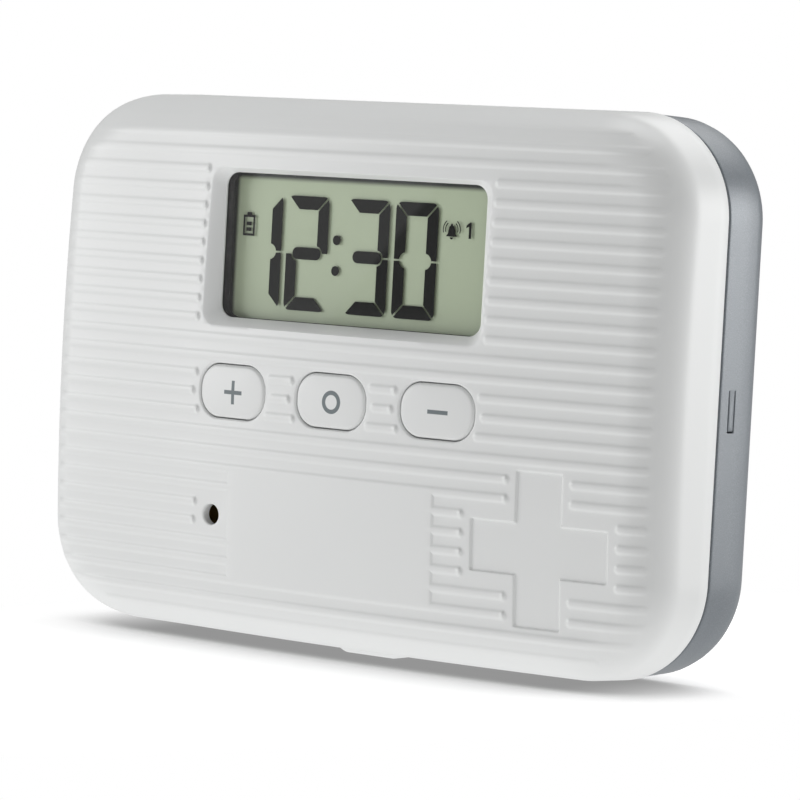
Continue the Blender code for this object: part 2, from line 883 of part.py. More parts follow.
def back_shell():
    shell = piece("back_shell", shell_body(0, 0, shell_round), shell_paint)
    hollow = shell_body(shell_wall, shell_back, shell_round - shell_wall)
    combine(shell, helper("shell_hollow", hollow), "DIFFERENCE")
    lugs = helper("hinge_lugs", joined(lug_shapes()))
    mid_wall = shell_body(shell_wall / 2, shell_back / 2, shell_round - shell_wall / 2)
    combine(lugs, helper("lug_limit", mid_wall), "INTERSECT")
    combine(shell, lugs, "UNION")
    combine(shell, helper("hinge_notches", joined(notch_shapes())), "DIFFERENCE")
    combine(shell, helper("rear_notches", joined(rear_notch_shapes())), "DIFFERENCE")
    reach = ear_at + ear_half_width + notch_gap + lug_width - pin_end_gap
    inner = ear_at - ear_half_width - notch_gap - lug_width + pin_end_gap
    bores = []
    for side in (-1, 1):
        start, end = sorted((side * inner, side * reach))
        bore = rod_along_x(
            start - fit_gap, end + fit_gap, hinge_y, hinge_z, hinge_bore_radius, hinge_segments
        )
        bores.append(bore)
        name = "left" if side < 0 else "right"
        pin = rod_along_x(start, end, hinge_y, hinge_z, hinge_pin_radius, hinge_segments)
        piece(f"hinge_pin_{name}", pin, bright_steel)
    combine(shell, helper("pin_bores", joined(bores)), "DIFFERENCE")
    combine(shell, helper("tongue_slots", tongue_cuts()), "DIFFERENCE")
    merge_flat(shell)


def pill_tray():
    """A drop-in tray with four compartments, open towards the lid."""
    half_width = lid_half_width - shell_inset - shell_draft - shell_wall - tray_gap
    floor = outline_mid_height - lid_half_height + shell_inset + shell_draft + shell_wall
    low = floor + tray_gap + hook_thickness + tray_hook_room
    high = hinge_z - tray_below_hinge
    centre = (0, (low + high) / 2)
    half_height = (high - low) / 2
    front = lid_depth - tray_rise
    rear = apex_to_back() - shell_back - tray_gap

    def outline_at(inset):
        corner = tray_corner - inset
        return rounded(half_width - inset, half_height - inset, corner, centre, outline_corner_segments)

    rings = [ring_at(outline_at(0), front)] + round_rear(outline_at, rear, tray_round)
    tray = piece("pill_tray", lofted(rings), tray_plastic)
    shapes = []
    cell_width = (2 * half_width - (column_count + 1) * tray_wall) / column_count
    cell_height = (2 * half_height - (row_count + 1) * tray_wall) / row_count
    for column in range(column_count):
        for row in range(row_count):
            x = -half_width + tray_wall + cell_width / 2 + column * (cell_width + tray_wall)
            z = low + tray_wall + cell_height / 2 + row * (cell_height + tray_wall)
            near_corner = tray_corner - tray_wall
            hollow = compartment(x, z, cell_width / 2, cell_height / 2, near_corner)
            shapes.append(prism(hollow, front - past_surface, rear - tray_floor))
    combine(tray, helper("compartments", joined(shapes)), "DIFFERENCE")


def compartment(x, z, half_width, half_height, outer_corner):
    """A compartment outline whose corner at the tray's own corner is rounder than the others."""
    outline = []
    for quarter, (side_x, side_z) in enumerate(((1, 1), (-1, 1), (-1, -1), (1, -1))):
        outward = side_x * x > 0 and side_z * (z - (outline_mid_height)) > 0
        corner = outer_corner if outward else compartment_corner
        for index in range(compartment_corner_segments + 1):
            angle = (quarter + index / compartment_corner_segments) * math.pi / 2
            outline.append(
                (
                    x + side_x * (half_width - corner) + corner * math.cos(angle),
                    z + side_z * (half_height - corner) + corner * math.sin(angle),
                )
            )
    return outline


def buttons():
    for name, x in button_places():
        surface = crown(abs(x), button_height_at)
        front = surface - button_proud
        outer_x = abs(x) + button_hole_half_width + button_flange
        below = abs(button_height_at) + button_hole_half_height
        flange = crown(outer_x, below) + lid_wall + fit_gap
        rings = [(front, fit_gap + button_edge_round)]
        for step in range(1, button_edge_steps + 1):
            angle = math.pi / 2 * step / button_edge_steps
            depth = front + button_edge_round * (1 - math.cos(angle))
            rings.append((depth, fit_gap + button_edge_round * (1 - math.sin(angle))))
        rings.append((flange, fit_gap))
        rings.append((flange, fit_gap - button_flange))
        rings.append((flange + button_flange_thickness, fit_gap - button_flange))
        shape = lofted([ring_at(button_outline(x, shrink), depth) for depth, shrink in rings])
        cap = piece(f"{name}_button", shape, button_plastic)
        half = button_stem_half_width
        z = apex_above_floor + button_height_at
        low = (x - half, apex_y + flange, z - half)
        high = (x + half, apex_y + button_stem_end, z + half)
        combine(cap, helper(f"{name}_stem", box(low, high)), "UNION")
        hang(cap, joint_empty(f"{name}_button_slide", (x, apex_y + front, z)))


def display():
    lens = window_outline(lens_margin, lens_margin, lens_margin, window_corner)
    front = window_depth + window_lip + seat_gap
    shape = prism(lens, front, front + lens_thickness)
    parts = [piece("display_lens", shape, clear_plastic, 1.0)]
    frame = window_outline(frame_margin, frame_margin, frame_margin + panel_foot, window_corner)
    body = piece("lcd_frame", prism(frame, frame_front, frame_rear), black_plastic)
    inside = panel_margin + fit_gap
    sight = window_outline(0, 0, 0, window_corner)
    pocket = window_outline(inside, inside, inside + panel_foot, panel_corner)
    step = panel_front - seat_gap
    rings = [ring_at(sight, frame_front - past_surface), ring_at(sight, step)]
    rings += [ring_at(pocket, step), ring_at(pocket, frame_rear + past_surface)]
    combine(body, helper("lcd_pocket", lofted(rings)), "DIFFERENCE")
    glass = window_outline(panel_margin, panel_margin, panel_margin + panel_foot, panel_corner)
    parts += [body, piece("lcd_panel", prism(glass, panel_front, panel_rear), display_glass)]
    half = window_half_width - lens_margin
    low = apex_above_floor + window_low - panel_margin
    low_corner = (-half, apex_y + connector_front, low)
    high_corner = (half, apex_y + connector_rear, low + connector_height)
    parts.append(piece("lcd_connector", box(low_corner, high_corner), connector_rubber))
    return parts


def board():
    centre = (0, apex_above_floor + (board_low + board_high) / 2)
    outline = rounded(board_half_width, (board_high - board_low) / 2, board_corner, centre)
    shape = prism(outline, board_front, board_rear)
    plate = piece("circuit_board", shape, board_green)
    holes = []
    radius = screw_clearance_radius
    for place in board_screw_places():
        ends = [(board_front - past_surface, radius), (board_rear + past_surface, radius)]
        holes.append(turned(place, ends, screw_segments))
    combine(plate, helper("board_holes", joined(holes)), "DIFFERENCE")
    chip = [(board_rear + seat_gap, chip_radius)]
    for step in range(1, edge_round_segments):
        angle = math.pi / 2 * step / edge_round_segments
        chip.append((board_rear + chip_height * math.sin(angle), chip_radius * math.cos(angle)))
    chip_at = from_apex((0, chip_above_apex))
    drop = piece("controller_chip", turned(chip_at, chip, round_segments), black_resin)
    start = -crystal_left - crystal_length / 2
    middle_y = apex_y + board_rear + crystal_radius + seat_gap
    middle_z = apex_above_floor + crystal_above_apex
    shape = rod_along_x(
        start, start + crystal_length, middle_y, middle_z, crystal_radius, screw_segments
    )
    return [plate, drop, piece("crystal_can", shape, bright_steel)]


def keypad():
    """One silicone sheet with a dome under each button, drawn pressed flat."""
    centre = (0, apex_above_floor + button_height_at)
    outline = rounded(keypad_half_width, keypad_half_height, keypad_corner, centre)
    sheet = piece("keypad", prism(outline, keypad_front, keypad_rear), grey_silicone)
    domes = []
    for _, x in button_places():
        levels = [(dome_top, dome_top_radius), (keypad_rear - fit_gap, dome_foot_radius)]
        domes.append(turned((x, centre[1]), levels, dome_segments))
    combine(sheet, helper("keypad_domes", joined(domes)), "UNION")
    return [sheet]


def buzzer():
    levels = [(buzzer_front, buzzer_radius), (buzzer_front + buzzer_brass, buzzer_radius)]
    levels += [
        (buzzer_front + buzzer_brass, buzzer_ceramic_radius),
        (buzzer_front + buzzer_ceramic, buzzer_ceramic_radius),
    ]
    disc = turned(from_apex(sound_hole_at), levels, ring_segments)
    return [piece("buzzer_disc", disc, spring_brass)]


def battery():
    place = from_apex(cell_at)
    levels = [(cell_front, cell_radius - cell_step), (cell_front + cell_step, cell_radius - cell_step)]
    levels += [(cell_front + cell_step, cell_radius), (cell_rear, cell_radius)]
    parts = [piece("coin_cell", turned(place, levels, ring_segments), bright_steel)]
    front = apex_y + board_rear + contact_lift
    low = (place[0] - contact_half_length, front, place[1] - contact_half_width)
    high = (place[0] + contact_half_length, front + contact_thickness, place[1] + contact_half_width)
    parts.append(piece("cell_contact", box(low, high), spring_brass))
    leaf = place[1] + cell_radius + fit_gap
    foot = apex_y + board_rear + contact_lift
    profile = [(foot, leaf), (apex_y + cell_rear, leaf), (apex_y + cell_rear, leaf + clip_thickness)]
    profile += [(foot + clip_thickness, leaf + clip_thickness), (foot + clip_thickness, leaf + clip_foot)]
    profile.append((foot, leaf + clip_foot))
    ends = [[(place[0] + x, y, z) for y, z in profile] for x in (-clip_half_width, clip_half_width)]
    parts.append(piece("cell_clip", lofted(ends), bright_steel))
    return parts


def door_outline(grow):
    half_width = (door_high[0] - door_low[0]) / 2
    half_height = (door_high[1] - door_low[1]) / 2
    centre = (door_low[0] + half_width, apex_above_floor + door_low[1] + half_height)
    return rounded(half_width + grow, half_height + grow, door_corner, centre)


def screw_hole(place):
    """A stepped hole through the inner cover's plate, its wide end for the screw's head."""
    seat = inner_rear - screw_head_seat
    wide = screw_head_radius + fit_gap
    levels = [(inner_front - past_surface, screw_clearance_radius), (seat, screw_clearance_radius)]
    levels += [(seat, wide), (inner_rear + past_surface, wide)]
    return turned(place, levels, screw_segments)


def inner_cover():
    outline = body_outline(lid_wall + lid_draft + inner_gap)
    plate = piece("inner_cover", prism(outline, inner_front, inner_rear), inner_plastic)
    shapes = [prism(door_outline(0), inner_front - past_surface, inner_rear + past_surface)]
    shapes += [screw_hole(place) for place in screw_places()]
    combine(plate, helper("inner_openings", joined(shapes)), "DIFFERENCE")
    return [plate]


def battery_door():
    """The door with the tab that hooks under the inner cover, opposite its screw."""
    door = piece("battery_door", prism(door_outline(-fit_gap), inner_front, inner_rear), inner_plastic)
    middle = apex_above_floor + (door_low[1] + door_high[1]) / 2
    edge = door_low[0]
    half = door_tab_half_height
    rear = apex_y + inner_front - seat_gap
    low = (edge - door_tab_reach, rear - door_tab_thickness, middle - half)
    high = (edge + door_tab_reach, rear, middle + half)
    neck_half = half - fit_gap
    neck_low = (edge + fit_gap + fit_gap, rear - door_tab_thickness / 2, middle - neck_half)
    neck_rear = apex_y + inner_rear - door_tab_drop
    neck_high = (edge + door_tab_reach - fit_gap, neck_rear, middle + neck_half)
    combine(door, helper("door_neck", box(neck_low, neck_high)), "UNION")
    combine(door, helper("door_tab", box(low, high)), "UNION")
    hole = screw_hole(from_apex(door_screw_at))
    combine(door, helper("door_screw_hole", hole), "DIFFERENCE")
    return [door]


def screw(name, place, head_rear, head_height, shank_end):
    """A round-headed screw with a cross recess, its head towards the back."""
    seat = head_rear - head_height
    levels = [(shank_end, screw_shank_radius), (seat, screw_shank_radius)]
    levels += [(seat, screw_head_radius), (head_rear, screw_head_radius)]
    body = piece(name, turned(place, levels, screw_segments), bright_steel)
    outline = cross_at_place(place, screw_recess_half_width, screw_recess_reach)
    recess = prism(outline, head_rear - screw_recess_depth, head_rear + past_surface)
    combine(body, helper(f"{name}_recess", recess), "DIFFERENCE")
    return body


def screws():
    parts = []
    head = screw_head_height
    rear = inner_rear - screw_head_seat + seat_gap + head
    for number, place in enumerate(screw_places(), 1):
        parts.append(screw(f"cover_screw_{number}", place, rear, head, screw_shank_end))
    parts.append(screw("door_screw", from_apex(door_screw_at), rear, head, screw_shank_end))
    head = board_screw_head_height
    rear = board_rear + seat_gap + head
    for side, place in zip(("left", "right"), board_screw_places()):
        parts.append(screw(f"board_screw_{side}", place, rear, head, screw_shank_end - lid_wall))
    return parts


back_shell()
pill_tray()
lid_hinge = joint_empty("lid_hinge", (0, hinge_y, hinge_z))
for make in (front_cover, inner_cover, battery_door, screws, keypad, display, board, buzzer, battery):
    for found in make():
        hang(found, lid_hinge)
buttons()
for found in bpy.data.objects:
    if found.name.endswith("_slide"):
        found.parent = lid_hinge
        found.matrix_parent_inverse = Matrix.Translation(lid_hinge.location).inverted()
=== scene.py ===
"""Electronic pill box, closed and standing on its long lower edge, as it is photographed."""
import math

import bpy
import numpy as np
from mathutils import Matrix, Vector
from mathutils.geometry import delaunay_2d_cdt


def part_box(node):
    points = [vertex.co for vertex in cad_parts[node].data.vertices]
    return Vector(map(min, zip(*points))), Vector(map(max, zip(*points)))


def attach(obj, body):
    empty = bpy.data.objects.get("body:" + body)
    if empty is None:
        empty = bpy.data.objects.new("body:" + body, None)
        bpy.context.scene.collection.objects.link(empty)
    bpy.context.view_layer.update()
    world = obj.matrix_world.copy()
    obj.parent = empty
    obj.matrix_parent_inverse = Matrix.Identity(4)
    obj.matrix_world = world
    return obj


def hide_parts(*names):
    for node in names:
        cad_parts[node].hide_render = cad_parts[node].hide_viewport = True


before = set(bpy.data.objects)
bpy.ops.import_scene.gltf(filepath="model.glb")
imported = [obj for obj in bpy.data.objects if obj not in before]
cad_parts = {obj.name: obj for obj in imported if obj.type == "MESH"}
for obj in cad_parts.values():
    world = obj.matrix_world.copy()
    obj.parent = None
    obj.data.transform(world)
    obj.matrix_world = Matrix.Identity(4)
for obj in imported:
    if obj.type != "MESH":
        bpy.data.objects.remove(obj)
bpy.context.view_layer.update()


# Camera: a long lens from the right of the face and a little above the table, turned slightly
# as the photograph is.
def stood(name, data, axes, place):
    """An object at a place, with its own X, Y and Z along three axes."""
    found = bpy.data.objects.new(name, data)
    columns = [(*axis, 0.0) for axis in axes] + [(*place, 1.0)]
    found.matrix_world = Matrix([tuple(map(float, column)) for column in columns]).transposed()
    scene.collection.objects.link(found)
    return found


scene = bpy.context.scene
camera_place = (0.34668, -0.44573, 0.06554)
camera_right = (0.7879, 0.6135, 0.0537)
camera_up = (-0.0752, 0.0093, 0.9971)
camera_back = (0.6112, -0.7896, 0.0535)
camera_data = bpy.data.cameras.new("camera")
camera_data.lens = 182.88
camera_data.sensor_width = 36.0
camera_data.clip_start = 0.05
camera_data.clip_end = 20.0
scene.camera = stood("camera", camera_data, (camera_right, camera_up, camera_back), camera_place)


# Shell: the grey back half, a moulded tray with a rounded rear edge, slotted tongues in its end
# walls and notches for the hinge. It is moulded plastic with a sprayed satin finish.
class Value:
    """A number, colour or shader that varies over a surface. Arithmetic on it adds Math nodes."""

    def __init__(self, nodes, socket):
        self.nodes = nodes
        self.socket = socket

    def maths(self, operation, *values):
        return self.nodes.node("ShaderNodeMath", {"operation": operation}, dict(enumerate(values)))

    def __add__(self, other):
        return self.maths("ADD", self, other)

    def __sub__(self, other):
        return self.maths("SUBTRACT", self, other)

    def __rsub__(self, other):
        return self.maths("SUBTRACT", other, self)

    def __mul__(self, other):
        return self.maths("MULTIPLY", self, other)

    __radd__ = __add__
    __rmul__ = __mul__

    def least(self, other):
        return self.maths("MINIMUM", self, other)

    def most(self, other):
        return self.maths("MAXIMUM", self, other)

    def power(self, other):
        return self.maths("POWER", self, other)

    def size(self):
        return self.maths("ABSOLUTE", self)

    def above(self, edge, soft):
        """0 below the edge and 1 above it, with a smooth step between."""
        return self.nodes.node(
            "ShaderNodeMapRange",
            {"interpolation_type": "SMOOTHSTEP"},
            {"Value": self, "From Min": edge - soft, "From Max": edge + soft},
        )


class Nodes:
    """The nodes of a material or of the world, built one by one."""

    def __init__(self, tree):
        self.tree = tree

    def node(self, kind, settings, sockets, output=0):
        made = self.tree.nodes.new(kind)
        for name, value in settings.items():
            setattr(made, name, value)
        for name, value in sockets.items():
            if isinstance(value, Value):
                self.tree.links.new(value.socket, made.inputs[name])
            else:
                made.inputs[name].default_value = value
        return Value(self, made.outputs[output])

    def blended(self, share, otherwise, shown):
        """A shader between two, by a share that varies."""
        return self.node("ShaderNodeMixShader", {}, {0: share, 1: otherwise, 2: shown})

    def show(self, shader, output="Material Output"):
        self.tree.links.new(shader.socket, self.tree.nodes[output].inputs["Surface"])


class Finish(Nodes):
    """A procedural material. Its shader's sockets are named with underscores."""

    def __init__(self, name, colour, roughness, **sockets):
        self.material = bpy.data.materials.new(name)
        self.material.use_nodes = True
        super().__init__(self.material.node_tree)
        self.shader = self.tree.nodes["Principled BSDF"]
        for socket, value in {"Base_Color": (*colour, 1.0), "Roughness": roughness, **sockets}.items():
            self.shader.inputs[socket.replace("_", " ")].default_value = value
        self.place = self.node("ShaderNodeTexCoord", {}, {}, "Object")

    def noise(self, scale, detail=2.0):
        sockets = {"Vector": self.place, "Scale": scale, "Detail": detail}
        return self.node("ShaderNodeTexNoise", {}, sockets, "Fac")

    def mixed(self, share, first, second):
        """A colour between two, by a share that varies."""
        first, second = [tone if isinstance(tone, Value) else (*tone, 1) for tone in (first, second)]
        return self.node("ShaderNodeMix", {"data_type": "RGBA"}, {0: share, 6: first, 7: second}, 2)

    def axes(self):
        """The three coordinates in metres."""
        split = self.node("ShaderNodeSeparateXYZ", {}, {"Vector": self.place})
        outputs = split.socket.node.outputs
        return [Value(self, outputs[name]) for name in "XYZ"]

    def feed(self, **values):
        """Links values to the shader's sockets."""
        for name, value in values.items():
            self.tree.links.new(value.socket, self.shader.inputs[name.replace("_", " ")])

    def bumped(self, height, strength, distance):
        sockets = {"Height": height, "Strength": strength, "Distance": distance}
        self.feed(Normal=self.node("ShaderNodeBump", {}, sockets, "Normal"))


def outline_loop(centre, half, corner, count=None, stations=None):
    """Places on the inner rectangle and outward ways of a rectangle with rounded corners.

    The place moves along the straights and stays in the corners, and the way stays on the
    straights and turns in the corners, both by length travelled anticlockwise from the lower end
    of the right side. A point of the outline is the place plus the corner radius times the way.
    """
    reach = (half[0] - corner, half[1] - corner)
    straights = 2 * np.array([reach[1], reach[0], reach[1], reach[0]])
    turns = np.full(4, corner * math.pi / 2)
    lengths = np.concatenate([[0], np.cumsum(np.stack([straights, turns], axis=1).ravel())])
    if stations is None:
        stations = np.arange(count) / count * lengths[-1]
    quarters = np.array([0, 0, 1, 1, 2, 2, 3, 3, 4])
    side_x = np.array([1, 1, 1, -1, -1, -1, -1, 1, 1])
    side_z = np.array([-1, 1, 1, 1, 1, -1, -1, -1, -1])
    place_x = centre[0] + np.interp(stations, lengths, reach[0] * side_x)
    place_z = centre[1] + np.interp(stations, lengths, reach[1] * side_z)
    angle = np.interp(stations, lengths, quarters * math.pi / 2)
    return np.stack([place_x, place_z], axis=1), np.stack([np.cos(angle), np.sin(angle)], axis=1)


def at_depth(flat, y):
    """Points over flat places in X and Z, at depth y, which may be one number or one for each."""
    return np.stack([flat[:, 0], np.broadcast_to(y, len(flat)), flat[:, 1]], axis=1)


def grid_faces(rows, columns, closed=True):
    """The squares of a grid of rows by columns, its last column joined to the first when closed."""
    row = np.arange(rows - 1)[:, None]
    column = np.arange(columns if closed else columns - 1)[None, :]
    after = (column + 1) % columns
    corners = [row * columns + column, (row + 1) * columns + column]
    corners += [(row + 1) * columns + after, row * columns + after]
    return np.stack(corners, axis=2).reshape(-1, 4)


def add_piece(name, points, faces, finish, body, replaced=(), sharp=35):
    """A mesh piece at the origin that rides a body, smooth except where it folds sharply."""
    mesh = bpy.data.meshes.new(name)
    mesh.from_pydata(np.asarray(points).tolist(), [], [list(face) for face in faces])
    mesh.update()
    mesh.shade_smooth()
    mesh.set_sharp_from_angle(angle=math.radians(sharp))
    mesh.materials.append(finish.material)
    found = bpy.data.objects.new(name, mesh)
    scene.collection.objects.link(found)
    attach(found, body)
    if replaced:
        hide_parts(*replaced)
    return found


def softened(piece, width):
    """Rounds the edges of a piece over a width, in two steps."""
    edge = piece.modifiers.new("soft edges", "BEVEL")
    edge.width = width
    edge.segments = 2
    edge.limit_method = "ANGLE"
    edge.angle_limit = math.radians(50)


def eased(value):
    """A smooth step: 3 times the square less 2 times the cube of a value kept in 0 to 1."""
    share = np.clip(value, 0, 1)
    return share**2 * (3 - 2 * share)


def widened(points):
    """The points with the left end moved out: X less a growth that rises as a smooth step."""
    growth = left_growth * eased((-points[:, 0] - left_growth_from) / left_growth_over)
    return points - growth[:, None] * (1, 0, 0)


left_growth = 0.0028
left_growth_from = 0.032
left_growth_over = 0.016
lid_half_width = 0.05265
lid_half_height = 0.0381
middle_z = 0.03853
apex_z = 0.03892
apex_y = -0.0134682
parting_y = apex_y + 0.01628
outline_corner = 0.0143
shell_inset = 0.00015
shell_half = (lid_half_width - shell_inset, lid_half_height - shell_inset)
shell_corner = outline_corner - shell_inset
shell_draft = 0.00025
shell_round = 0.004
shell_wall = 0.0015
shell_front = parting_y + 0.00045
back_y = 0.0142
hinge_y = parting_y + 0.006
hinge_z = middle_z + lid_half_height - 0.0019
ear_x = 0.028
notch_half = 0.0034
notch_low = hinge_z - 0.002
notch_rear_z = hinge_z + 0.0006
tongue_low = apex_z - 0.004212
tongue_high = apex_z + 0.001378
tongue_front = parting_y + 0.00255
tongue_rear = tongue_front + 0.0016
tongue_slot = 0.0002
slot_margin = 0.00012

shell_grey = (0.2, 0.22, 0.24)
shell_satin = Finish("shell_satin", shell_grey, 0.36, Metallic=0.15, Coat_Weight=0.06, Coat_Roughness=0.35)
speckle = shell_satin.noise(9000, 1.0).above(0.56, 0.1)
tone = speckle * 0.55 + shell_satin.noise(60, 3.0) * 0.25
shell_satin.feed(
    Base_Color=shell_satin.mixed(tone, (0.158, 0.177, 0.196), (0.247, 0.27, 0.294)),
    Roughness=0.31 + shell_satin.noise(5000, 1.0) * 0.14,
)
shell_satin.bumped(shell_satin.noise(7000), 0.25, 0.00003)

side_straight = 2 * (shell_half[1] - shell_corner)
top_straight = 2 * (shell_half[0] - shell_corner)
corner_turn = shell_corner * math.pi / 2
tongue_height = tongue_high - tongue_low
tongue_lines = np.array([-slot_margin, 0.0, tongue_slot, tongue_height, tongue_height + slot_margin])
tongue_lines += tongue_low - (middle_z - side_straight / 2)
top_start = side_straight + corner_turn
left_start = top_start + top_straight + corner_turn
bottom_start = left_start + side_straight + corner_turn
notch_edges = np.array([side * ear_x + edge * notch_half for side in (-1, 1) for edge in (-1, 1)])
stations = [tongue_lines, left_start + side_straight - tongue_lines]
stations += [top_start + top_straight / 2 - notch_edges]
sides = [(0, side_straight, 17), (top_start, top_straight, 33)]
sides += [(left_start, side_straight, 17), (bottom_start, top_straight, 33)]
for start, straight, steps in sides:
    stations += [np.linspace(start, start + straight, steps)]
    stations += [start + straight + np.linspace(0, corner_turn, 25)[1:-1]]
stations = np.unique(np.round(np.concatenate(stations), 7))
places, ways = outline_loop((0, middle_z), shell_half, shell_corner, stations=stations)
wall_lines = [tongue_front - slot_margin, tongue_front + tongue_slot, tongue_rear - tongue_slot]
wall_lines += [tongue_rear, tongue_rear + slot_margin, back_y - shell_round]
wall_lines = np.sort(np.concatenate([wall_lines, np.linspace(shell_front, tongue_front, 5)]))
levels = [(y, shell_draft * (y - shell_front) / (back_y - shell_front)) for y in wall_lines]
for angle in np.radians([8, 16, 24, 32, 40, 48, 56.6, 65, 73, 82, 90]):
    inset = shell_draft + shell_round * (1 - math.cos(angle))
    levels.append((back_y - shell_round + shell_round * math.sin(angle), inset))
back_corner = shell_corner - shell_draft - shell_round
levels += [(back_y, shell_draft + shell_round + back_corner * share) for share in (0.3, 0.65, 0.95)]
rings = [at_depth(places + ways * (shell_corner - inset), y) for y, inset in levels]
back_middle = np.array((0, back_y, middle_z))
rings.append(back_middle + (rings[-1] - back_middle) * (0.5, 1, 0.3))
points = np.concatenate(rings)
faces = grid_faces(len(rings), len(places))
x, y, z = points[faces].mean(axis=1).T
in_notch = (np.abs(np.abs(x) - ear_x) < notch_half) & (z > notch_low)
in_notch &= (y <= back_y - shell_round) | (z > notch_rear_z)
in_tongue = (np.abs(x) > lid_half_width - shell_wall) & (y > tongue_front) & (y < tongue_rear)
in_tongue &= (z > tongue_low) & (z < tongue_high)
behind_slot = (y > tongue_front + tongue_slot) & (y < tongue_rear - tongue_slot)
in_tongue &= ~(behind_slot & (z > tongue_low + tongue_slot))
faces = faces[~(in_notch | in_tongue)].tolist()
faces.append(np.arange(len(points) - len(places), len(points))[::-1].tolist())
points = widened(points)
shell = add_piece("shell_moulding", points, faces, shell_satin, "tray_base", ["back_shell"])
wall = shell.modifiers.new("wall", "SOLIDIFY")
wall.thickness = shell_wall
wall.offset = -1
wall.use_even_offset = True
softened(shell, 0.00012)


# Hinge lugs: four blocks inside the shell's top wall that carry the two steel pins. They are
# moulded with the shell and painted with it.
def boxed(low, high):
    """Points and outward faces of a block between two corners, as two stacked squares."""
    corners = np.array([[0, 0], [1, 0], [1, 1], [0, 1]])
    spread = np.array(high) - np.array(low)
    points = [np.array(low) + spread * (x, y, level) for level in (0, 1) for x, y in corners]
    faces = [[0, 3, 2, 1], [4, 5, 6, 7]] + [[i, (i + 1) % 4, (i + 1) % 4 + 4, i + 4] for i in range(4)]
    return np.array(points), np.array(faces)


lug_width = 0.003
lug_front = hinge_y - 0.0021
lug_rear = hinge_y + 0.0024
lug_low = hinge_z - 0.0019
lug_high = hinge_z + 0.0019 - shell_wall / 2
lug_starts = notch_edges - (lug_width, 0, lug_width, 0)
lug_shapes = [boxed((x, lug_front, lug_low), (x + lug_width, lug_rear, lug_high)) for x in lug_starts]
lug_points = np.concatenate([points for points, _ in lug_shapes])
lug_faces = np.concatenate([faces + 8 * number for number, (_, faces) in enumerate(lug_shapes)])
softened(add_piece("hinge_lugs", lug_points, lug_faces, shell_satin, "tray_base"), 0.0002)


# Hinge pins: two short steel rods through the ears and lugs, drawn and plated. The solids carry
# their shape, and only their finish is made here.
def plated(name, colour, roughness):
    """Plated metal: fine drawn grain and slight clouding."""
    made = Finish(name, colour, roughness, Metallic=1.0)
    cloud = made.noise(900, 3.0)
    darker = [0.82 * part for part in colour]
    made.feed(Base_Color=made.mixed(cloud, darker, colour), Roughness=roughness - 0.05 + cloud * 0.12)
    made.bumped(made.noise(6000, 1.0), 0.15, 0.00002)
    return made


def dressed(finish, *nodes):
    """Gives carried-over pieces their finish."""
    for name in nodes:
        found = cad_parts[name]
        if not found.material_slots:
            found.data.materials.append(finish.material)
        for slot in found.material_slots:
            slot.material = finish.material


dressed(plated("pin_steel", (0.62, 0.62, 0.64), 0.28), "hinge_pin_left", "hinge_pin_right")


# Pill tray: four compartments in one moulding of semi-gloss white plastic, which drops into the
# shell and rests on its floor.
def moulded(name, colour, roughness, coat=0.0, grain=4000, relief=0.00002, **sockets):
    """Moulded plastic: even colour with slight flow clouding and a fine eroded grain."""
    made = Finish(name, colour, roughness, Coat_Weight=coat, Coat_Roughness=0.15, **sockets)
    darker = [0.965 * part for part in colour]
    tint = made.mixed(made.noise(45, 3.0), darker, colour)
    texture = made.noise(grain)
    made.feed(Base_Color=tint, Roughness=roughness - 0.04 + texture * 0.08)
    made.bumped(texture, 0.2, relief)
    return made


dressed(moulded("tray_white", (0.8, 0.82, 0.82), 0.25, coat=0.3, grain=2500), "pill_tray")


# Lid moulding: the white front half, a shallow pillow with rounded edges. Raised ribs cross it,
# with smooth clearings round the display, buttons and sound hole, a plain label field and a sunk
# cross. It is moulded in fine satin plastic.
lid_draft = 0.0003
edge_round = 0.0057
lid_wall = 0.0015
lid_rear = parting_y - 0.00015
side_drop = 0.00307
side_drop_at = 0.0468
top_drop = 0.0017
top_drop_at = 0.0364
left_levelling = 0.0013
left_levelling_from = 0.026
left_levelling_over = 0.028
rib_pitch = 0.0026
rib_width = 0.001
rib_count = 28
rib_rise = 0.00021
rib_end_rise = 0.00042
rib_end_length = 0.0008
rib_edge_width = 0.00021
first_rib_top = apex_z + 0.034916 + rib_width / 2
rib_reach = 0.05018
rib_left_reach = 0.0491
corner_reaches = {0: 0.0437, 1: 0.0466, 2: 0.0497, 26: 0.04862, 27: 0.04316}
left_corner_reaches = {0: 0.0435, 1: 0.0466, 2: 0.0486, 26: 0.0465, 27: 0.041}
rib_end_inset = 0.0002
raised_ends_to = 0.04
label_end_share = 0.4
rim_fade = 0.55
rim_fade_kept_left = 0.8
rim_fade_from = 0.0069
rim_fade_over = 0.0047
left_fade = 0.18
left_fade_from = 0.03
left_fade_over = 0.08
up_fade_bend = 0.35
up_fade_from = 0.03
up_fade_over = 0.06
window_reach = 8.66 * rib_pitch
window_low = apex_z + 2.5 * rib_pitch
window_high = apex_z + 10.3 * rib_pitch
window_depth = 0.0026
display_clear = 9.6 * rib_pitch
display_clear_low = apex_z + 1.5 * rib_pitch
display_clear_high = apex_z + 10.8 * rib_pitch
button_spacing = 6.9 * rib_pitch
button_z = apex_z - 1.45 * rib_pitch
button_clear_half = 2.77 * rib_pitch
button_clear_radius = 1.9 * rib_pitch
button_hole_half = (0.00615, 0.00385)
button_hole_corner = 0.0035
sound_hole = (-8.2 * rib_pitch, apex_z - 0.021245)
sound_hole_radius = 0.00143
sound_clear = 1.25 * rib_pitch
label_reach = 6.93 * rib_pitch
label_rows = (19, 25)
label_corner = 0.0003
cross_place = (0.034528, apex_z - 0.021008)
cross_half = 1.336 * rib_pitch
cross_reach = 4.008 * rib_pitch
cross_depth = 0.0003
cross_edge_width = 0.00009
cross_clear = 0.5 * rib_pitch
cross_corner = 0.0002


